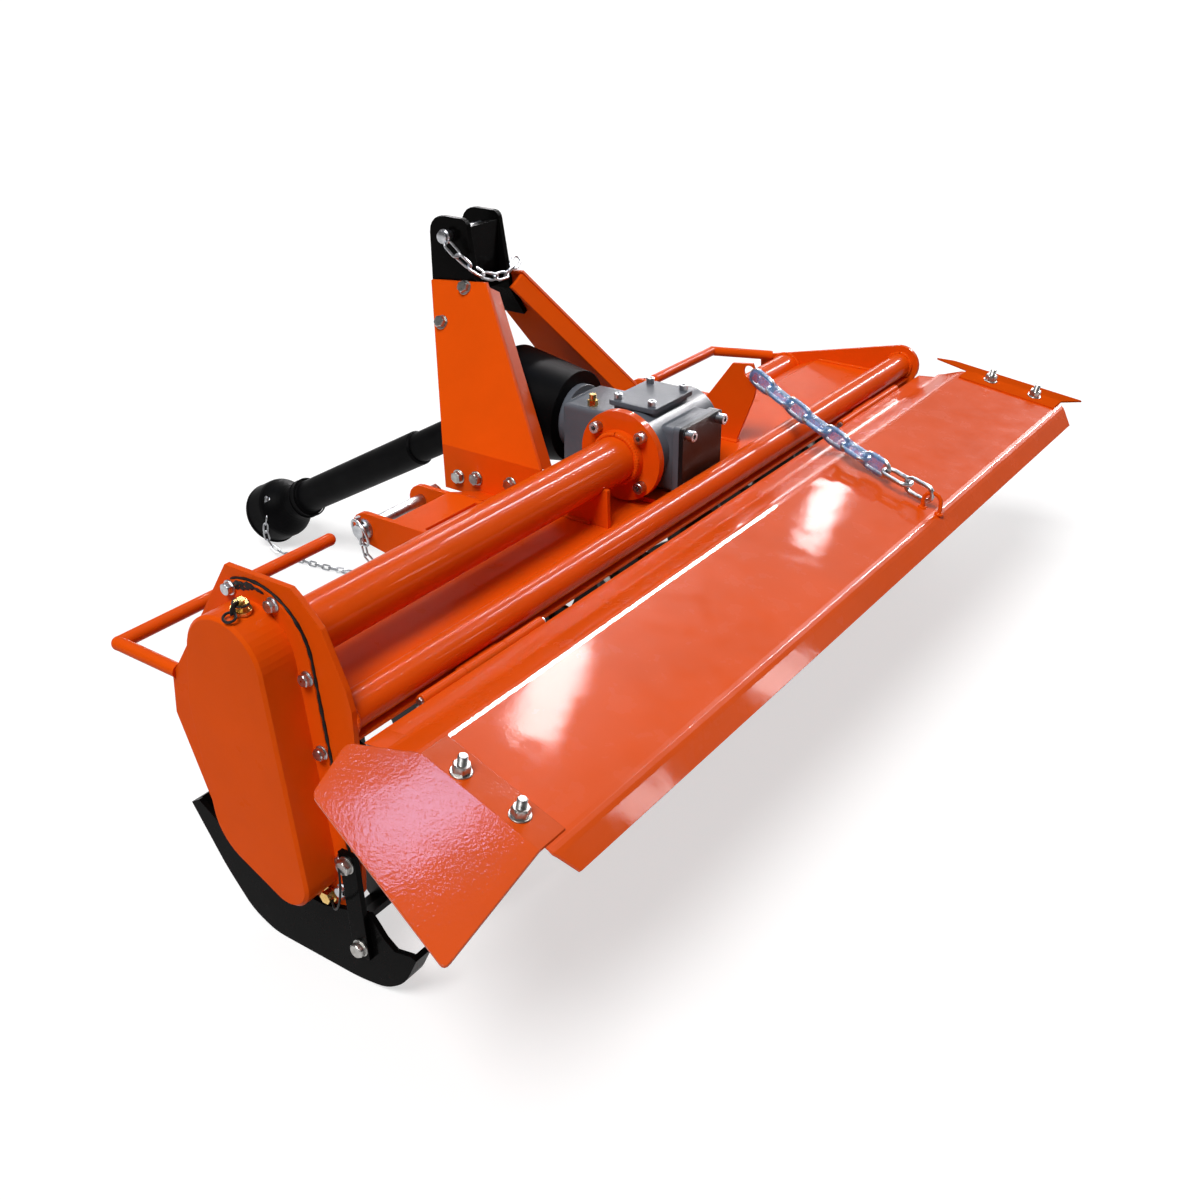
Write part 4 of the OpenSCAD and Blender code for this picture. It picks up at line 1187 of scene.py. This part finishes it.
@dataclass
class FrameWelds(Assembly):
    """Weld beads under the orange paint."""

    size: float = 3.2
    tube_gap: float = 0.8
    drive_r: tuple[float, float] = (38.8, 40.5)
    bracket_r: float = 31.0
    hood_y: tuple[float, float] = (-80.0, 70.0)

    def build(self) -> None:
        """Lay the frame's beads, and the beads at the chain lug's feet."""
        beads = Hardware()
        for name in ("front_tube", "rear_tube"):
            (low, high), (_, y, z) = self.box(name), self.middle(name)
            for x in (low[0] + 2, high[0] - 2):
                beads.weld_round((x, y, z), (high[2] - low[2]) / 2 + self.tube_gap, self.size)
        (low, high), (_, y, z) = self.box("drive_tube"), self.middle("drive_tube")
        beads.weld_round((low[0] + 2, y, z), self.drive_r[0], self.size)
        beads.weld_round((high[0] - 27, y, z), self.drive_r[1], self.size + 0.6)
        inside, _, hood_top = self.box("hood")[1]
        lines = [(side * (inside - 1), *self.hood_y) for side in (-1.0, 1.0)]
        for name in ("tube_saddle", "chain_gusset"):
            low, high = self.box(name)
            lines += [(x, low[1] + 34, high[1] - 6) for x in (low[0] - 1, high[0] + 1)]
        for x, start, end in lines:
            beads.weld(straight((x, start, hood_top + 1), (x, end, hood_top + 1)), self.size, UP)
        _, y, z = self.middle("front_tube")
        for side, foot_end in (("left", 0), ("right", 1)):
            low, high = self.box("hitch_bracket_" + side)
            for x in (low[0] - 1, low[0] + 11, high[0] - 11, high[0] + 1):
                beads.weld_round((x, y, z), self.bracket_r, self.size, (250.0, 440.0))
            foot = self.box("mast_plate_" + side)[foot_end][0]
            for x in (foot - 1, foot + 1):
                beads.weld_round((x, y, z), self.bracket_r, self.size, (-60.0, 90.0))
        self.shop.piece("frame_welds", beads, ORANGE_TUBE, Body.FRAME, BEAD_ANGLE)
        self.lug_feet()

    def lug_feet(self) -> None:
        """The beads at the chain lug's feet."""
        (low, high), x, feet = self.box("chain_lug"), self.middle("chain_lug")[0], Hardware()
        for y in (low[1] + 4, high[1] - 4):
            feet.weld_round((x, y, TailgateHardware(self.shop).top(y) + 0.5), 5.0, 2.4, axis=(0.0, -0.19, 1.0))
        self.shop.piece("lug_welds", feet, ORANGE_TUBE, Body.TAILGATE, BEAD_ANGLE)


@dataclass
class LiftChain(Assembly):
    """The lift chain with its film sleeve, hung along a sagging line from the gusset to the chain lug."""

    wire: float = 8.0
    width: float = 34.0
    pitch: float = 46.0
    sag: float = 12.0
    sleeve_end: float = 0.76
    sleeve_r: tuple[float, float] = (12.6, 5.6)
    cling: float = 1.35
    bend_share: float = 0.3
    creases: tuple[tuple[float, float, float, float], ...] = ((0.014, 5, 9, 0.0), (0.012, 9, -17, 1.3),
                                                              (0.01, 2, 31, 0.0))

    def build(self) -> None:
        """Make the chain and its sleeve in place of the frame's own, which are hidden."""
        lug_top = self.box("chain_lug")[1]
        top = np.array([self.middle("chain_gusset")[0], -48.0, 510.0])
        end = np.array([self.middle("chain_lug")[0], lug_top[1] - 14, lug_top[2] - 9])
        bend = top + self.bend_share * (end - top)
        start, stop = (tuple(self.shop.machine.metres(p)) for p in (top, bend))
        path = sagging(tuple(top), tuple(end), self.sag, 240)
        chain = Hardware().hang_chain(path, self.wire, self.width, self.pitch, 90.0)
        film = Hardware().add(self.film(path[: int(self.sleeve_end * len(path))], run_along(path)[-1]))
        for name, surfaces, finish, node in (("lift_chain_links", chain, ZINC, "lift_chain"),
                                             ("lift_chain_film", film, SLEEVE_FILM, "chain_sleeve")):
            made = self.shop.dress(self.shop.mesh(name, surfaces, CHAIN_ANGLE), finish)
            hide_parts(node)
            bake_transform(made)
            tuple(start)
            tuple(stop)

    def film(self, path: Array, whole: float, sides: int = 48, rows: int = 300) -> Array:
        """The film that clings to the chain: flat where a link lies flat, upright where it stands.

        Args:
            path: The sleeved stretch of the chain's middle line.
            whole: Length of the whole chain.
            sides: Points round the film.
            rows: Points along it.

        Returns:
            A grid of points.
        """
        fine = sampled(path, np.linspace(0, 1, len(path)), np.linspace(0, 1, rows))
        _, side, rise = frames_along(fine, UP, False)
        count = max(2, round(whole / self.pitch))
        s = np.linspace(0, run_along(path)[-1] / whole, rows)[:, None] * count
        angle = np.linspace(0, 2 * np.pi, sides, endpoint=False)[None, :]
        middle, swing = self.sleeve_r
        flat = np.clip(self.cling * np.sin(np.pi * s), -1, 1)
        creases = 1 + sum(deep * np.sin(turns * angle + twist * s + shift)
                          for deep, turns, twist, shift in self.creases)
        wide = (middle - swing * flat) * np.cos(angle) * creases
        tall = (middle + swing * flat) * np.sin(angle) * creases
        return fine[:, None, :] + wide[..., None] * side[:, None, :] + tall[..., None] * rise[:, None, :]


@dataclass
class ShaftHardware(Assembly):
    """The drive shaft guard's rings, screws and safety chain."""

    bell_len: float = 112.0
    bell_r: float = 64.0
    neck_r: float = 40.5
    chain_floor: float = 7.0
    chain_marks: tuple[tuple[float, float], ...] = ((8.0, 940.0), (-2.0, 905.0), (8.0, 850.0), (2.0, 800.0),
                                                    (22.0, 745.0))

    def build(self) -> None:
        """Make the drive shaft's hardware."""
        joint = next(j for j in self.shop.frame["record"]["behaviour"]["joints"] if j["name"] == "shaft_slide")
        along = np.array(joint["axis"], float)
        mouth = self.mouth(along)
        side = np.array(LEFT)
        rise = np.cross(along, side)
        neck = mouth - along * (self.bell_len + 28)
        rubber = Hardware()
        for gap in (-8.0, 8.0):
            rubber.add_ring(tuple(neck + along * gap), tuple(along), self.neck_r, 3.4)
        rubber.add_ring(tuple(mouth - along * 9), tuple(along), self.bell_r + 0.3, 3.6)
        self.shop.piece("guard_rings", rubber, PLASTIC, Body.SHAFT_OUTER)
        out = 0.82 * side + 0.57 * (rise if rise[2] > 0 else -rise)
        anchor = mouth - along * 70 + out * 52
        metal = Hardware().fasten(M8, [tuple(anchor)], tuple(out))
        start = mouth - along * 62 + side * 58
        path = bezier([start, start + [-26, 0, -60], *((x, y, self.chain_floor) for x, y in self.chain_marks)], 300)
        metal.hang_chain(path, 3.6, 13.0, 17.0, 45.0)
        metal.add_ring((22.0, 735.0, self.chain_floor), (0.2, 0.1, 1.0), 12.0, 4.0)
        self.shop.piece("safety_chain", metal, ZINC, Body.SHAFT_OUTER)

    def mouth(self, along: Array) -> Array:
        """The middle of the bell's mouth: its rim touches the floor, so it stands the rim's lean above it."""
        x, end = self.middle("shaft_guard_outer")[0], self.box("shaft_guard_outer")[1][1]
        return np.array([x, end + self.bell_r * along[2], self.bell_r * along[1]])


# Studio


@dataclass(frozen=True)
class Softbox:
    """A rectangular lamp that only shows in glossy faces: it stands where the view of a spot is mirrored to.

    Attributes:
        spot: The place on the machine, in millimetres, that mirrors the lamp.
        azimuth: Direction from the spot, in degrees from +X towards +Y.
        elevation: Degrees above the horizon.
        distance: Metres from the spot.
        size: Width and height in metres.
        radiance: Brightness of its face.
        colour: Tint of its light.
        along: Direction that its width follows, level if none is given.
    """

    name: str
    spot: Point
    azimuth: float
    elevation: float
    distance: float
    size: tuple[float, float]
    radiance: float
    colour: tuple[float, float, float] = (1.0, 0.98, 1.0)
    along: Point | None = None

    def build(self, machine: Machine) -> None:
        """Put the lamp into the scene: its power is pi times its area times its radiance."""
        target = machine.metres(np.asarray(self.spot, float))
        turn, rise = np.radians([self.azimuth, self.elevation])
        away = np.array([np.cos(rise) * np.cos(turn), np.cos(rise) * np.sin(turn), np.sin(rise)])
        place = target + self.distance * away
        light = bpy.data.lights.new(self.name, "AREA")
        light.shape = "RECTANGLE"
        light.size, light.size_y = self.size
        light.energy = np.pi * self.size[0] * self.size[1] * self.radiance
        light.color = self.colour
        lamp = placed(self.name, light)
        lamp.location = place
        lamp.rotation_euler = aim(tuple(place), tuple(target)) if self.along is None else self.turned_along(away)
        lamp.visible_diffuse = False

    def turned_along(self, away: Array) -> tuple[float, float, float]:
        """The lamp's turn when its back is towards away and its width follows the set direction."""
        wide = np.asarray(self.along, float)
        wide = wide - wide.dot(away) * away
        wide /= np.linalg.norm(wide)
        return tuple(Matrix(np.stack([wide, np.cross(away, wide), away], 1).tolist()).to_euler())


SOFTBOXES = (
    Softbox("flap_window", (-885.0, -270.0, 389.0), 66.5, 68.9, 8.0, (1.05, 0.50), 22.0, (0.34, 0.60, 1.0)),
    Softbox("tail_window_near", (-637.0, -287.0, 401.0), 22.9, 42.4, 12.0, (0.50, 1.20), 27.0),
    Softbox("tail_window_far", (50.0, -312.0, 397.0), 13.9, 31.0, 12.0, (0.30, 0.74), 22.0),
    Softbox("lip_window_near", (-681.0, -465.0, 347.0), -43.8, 18.8, 8.0, (0.34, 1.0), 12.0),
    Softbox("lip_window_far", (-352.0, -466.0, 345.0), -36.4, 16.2, 8.0, (0.34, 1.0), 12.0),
    Softbox("crease_strip", (50.0, -456.0, 357.0), -3.6, 31.7, 7.6, (5.2, 0.62), 100.0, along=RIGHT),
    Softbox("ridge_window", (-200.0, -244.0, 410.0), 36.5, 11.2, 12.0, (5.4, 1.0), 14.0),
    Softbox("tube_strip_high", (-400.0, 4.0, 490.0), 28.5, 38.0, 5.4, (2.9, 0.11), 170.0, along=RIGHT),
    Softbox("tube_strip_low", (-400.0, 4.0, 490.0), -23.5, 41.0, 5.4, (2.9, 0.06), 60.0, along=RIGHT),
)


def aim(place: Point, target: Point) -> tuple[float, float, float]:
    """The turn of a lamp or camera at one point that looks at another."""
    return tuple((Vector(target) - Vector(place)).to_track_quat("-Z", "Y").to_euler())


@dataclass
class Studio:
    """The camera at the photograph's viewing angle, a pale floor and soft light."""

    machine: Machine
    eye: Point = (-1766.0, -1147.0, 1286.0)
    right: Point = (0.5698, -0.8217, 0.0)
    up: Point = (0.3845, 0.2666, 0.8838)
    focal_px: float = 1359.88
    sensor: float = 36.0
    floor_half: float = 60.0
    floor_gap: float = 0.0006
    floor_colour: tuple[float, float, float] = (0.46, 0.46, 0.459)
    floor_glow: float = 0.62
    key_from: Point = (-0.52, -0.08, 0.85)
    key_strength: float = 2.6
    key_spread: float = 26.0
    hall_from: Point = (0.58, 0.48, 0.66)
    hall: tuple[float, float] = (0.05, 0.42)
    hall_span: tuple[float, float] = (-0.1, 0.95)
    hall_colour: tuple[float, float, float, float] = (1.0, 0.97, 0.97, 1.0)

    def camera(self) -> None:
        """Set the camera from its place and its measured right and up directions."""
        data = bpy.data.cameras.new("camera")
        data.sensor_width = self.sensor
        data.lens = self.focal_px * self.sensor / PHOTO_PIXELS
        right = np.asarray(self.right) / np.linalg.norm(self.right)
        back = np.cross(right, self.up)
        back /= np.linalg.norm(back)
        turn = np.stack([right, np.cross(back, right), back], 1)
        place = self.machine.metres(np.asarray(self.eye))
        matrix = np.eye(4)
        matrix[:3, :3], matrix[:3, 3] = turn, place
        camera = placed("camera", data)
        camera.matrix_world = Matrix(matrix.tolist())
        bpy.context.scene.camera = camera

    def floor(self) -> None:
        """Lay a wide pale floor with a faint drift of tone, just under the skids."""
        side = np.linspace(-self.floor_half, self.floor_half, 5)
        x, y = np.meshgrid(side, side, indexing="ij")
        grid = np.stack([x, y, np.full_like(x, -self.floor_gap)], 2)
        surfaces = Surfaces().add(grid, wrap_v=False)
        mesh = bpy.data.meshes.new("floor")
        mesh.from_pydata(surfaces.points[0].tolist(), [], surfaces.quads[0].tolist())
        floor = placed("floor", mesh)
        tree = Tree("pale_floor")
        pale = np.array(self.floor_colour)
        tree.feed("Base Color", tree.ramp(tree.noise(0.6), (0.3, pale * 0.995), (0.7, pale)))
        tree.feed("Roughness", 0.9)
        tree.feed("Specular IOR Level", 0.1)
        tree.feed("Emission Color", (1.0, 1.0, 1.0, 1.0))
        tree.feed("Emission Strength", self.seen(tree))
        mesh.materials.append(tree.material)

    def seen(self, tree: Tree) -> bpy.types.NodeSocket:
        """The floor's glow for rays that show it: straight to the camera, or in a mirror or a film.

        Args:
            tree: The floor's material.

        Returns:
            The strength, nought for the rays that only light the machine.
        """
        rays = tree.add("LightPath", {}).outputs
        total = rays["Is Camera Ray"]
        for kind in ("Is Glossy Ray", "Is Transmission Ray"):
            total = tree.math("MAXIMUM", total, rays[kind])
        return tree.math("MULTIPLY", total, self.floor_glow)

    def world(self) -> None:
        """A hall that is dim behind the camera and brightens towards its lit side."""
        world = bpy.data.worlds.new("studio")
        bpy.context.scene.world = world
        world.use_nodes = True
        tree = Nodes(world.node_tree)
        lit = tuple(np.asarray(self.hall_from) / np.linalg.norm(self.hall_from))
        toward = tree.add("VectorMath", {1: lit, 0: tree.add("TexCoord", {}).outputs["Generated"]})
        toward.operation = "DOT_PRODUCT"
        names = ("From Min", "From Max", "To Min", "To Max", "Value")
        bright = tree.add("MapRange", dict(zip(names, (*self.hall_span, *self.hall, toward.outputs["Value"]))))
        bright.interpolation_type = "SMOOTHSTEP"
        background = tree.nodes["Background"]
        tree.put(background, "Color", self.hall_colour)
        tree.put(background, "Strength", bright.outputs["Result"])

    def key(self) -> None:
        """A wide sun from the machine's left: it lights the whole floor evenly."""
        light = bpy.data.lights.new("key", "SUN")
        light.energy = self.key_strength
        light.angle = np.radians(self.key_spread)
        placed("key", light).rotation_euler = aim(self.key_from, (0.0, 0.0, 0.0))

    def build(self) -> None:
        """Set up the whole studio."""
        bpy.context.scene.view_settings.view_transform = "Standard"
        self.camera()
        self.floor()
        self.world()
        self.key()
        for box in SOFTBOXES:
            box.build(self.machine)


GROUPS: tuple[type[Assembly], ...] = (CaseHardware, DriveHardware, HitchHardware, TailgateHardware, SkidHardware,
                                      RotorHardware, FrameWelds, LiftChain, ShaftHardware)


def main() -> None:
    """Dress the frame, piece by piece, and set up the studio."""
    logging.basicConfig(level=logging.INFO, format="%(name)s: %(message)s")
    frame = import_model()
    machine = Machine.from_frame()
    finishes = Finishes()
    paint_nodes(frame["nodes"], finishes)
    Studio(machine).build()
    shop = Workshop(machine, finishes, frame)
    for group in GROUPS:
        group(shop).build()


if __name__ == "__main__":
    main()
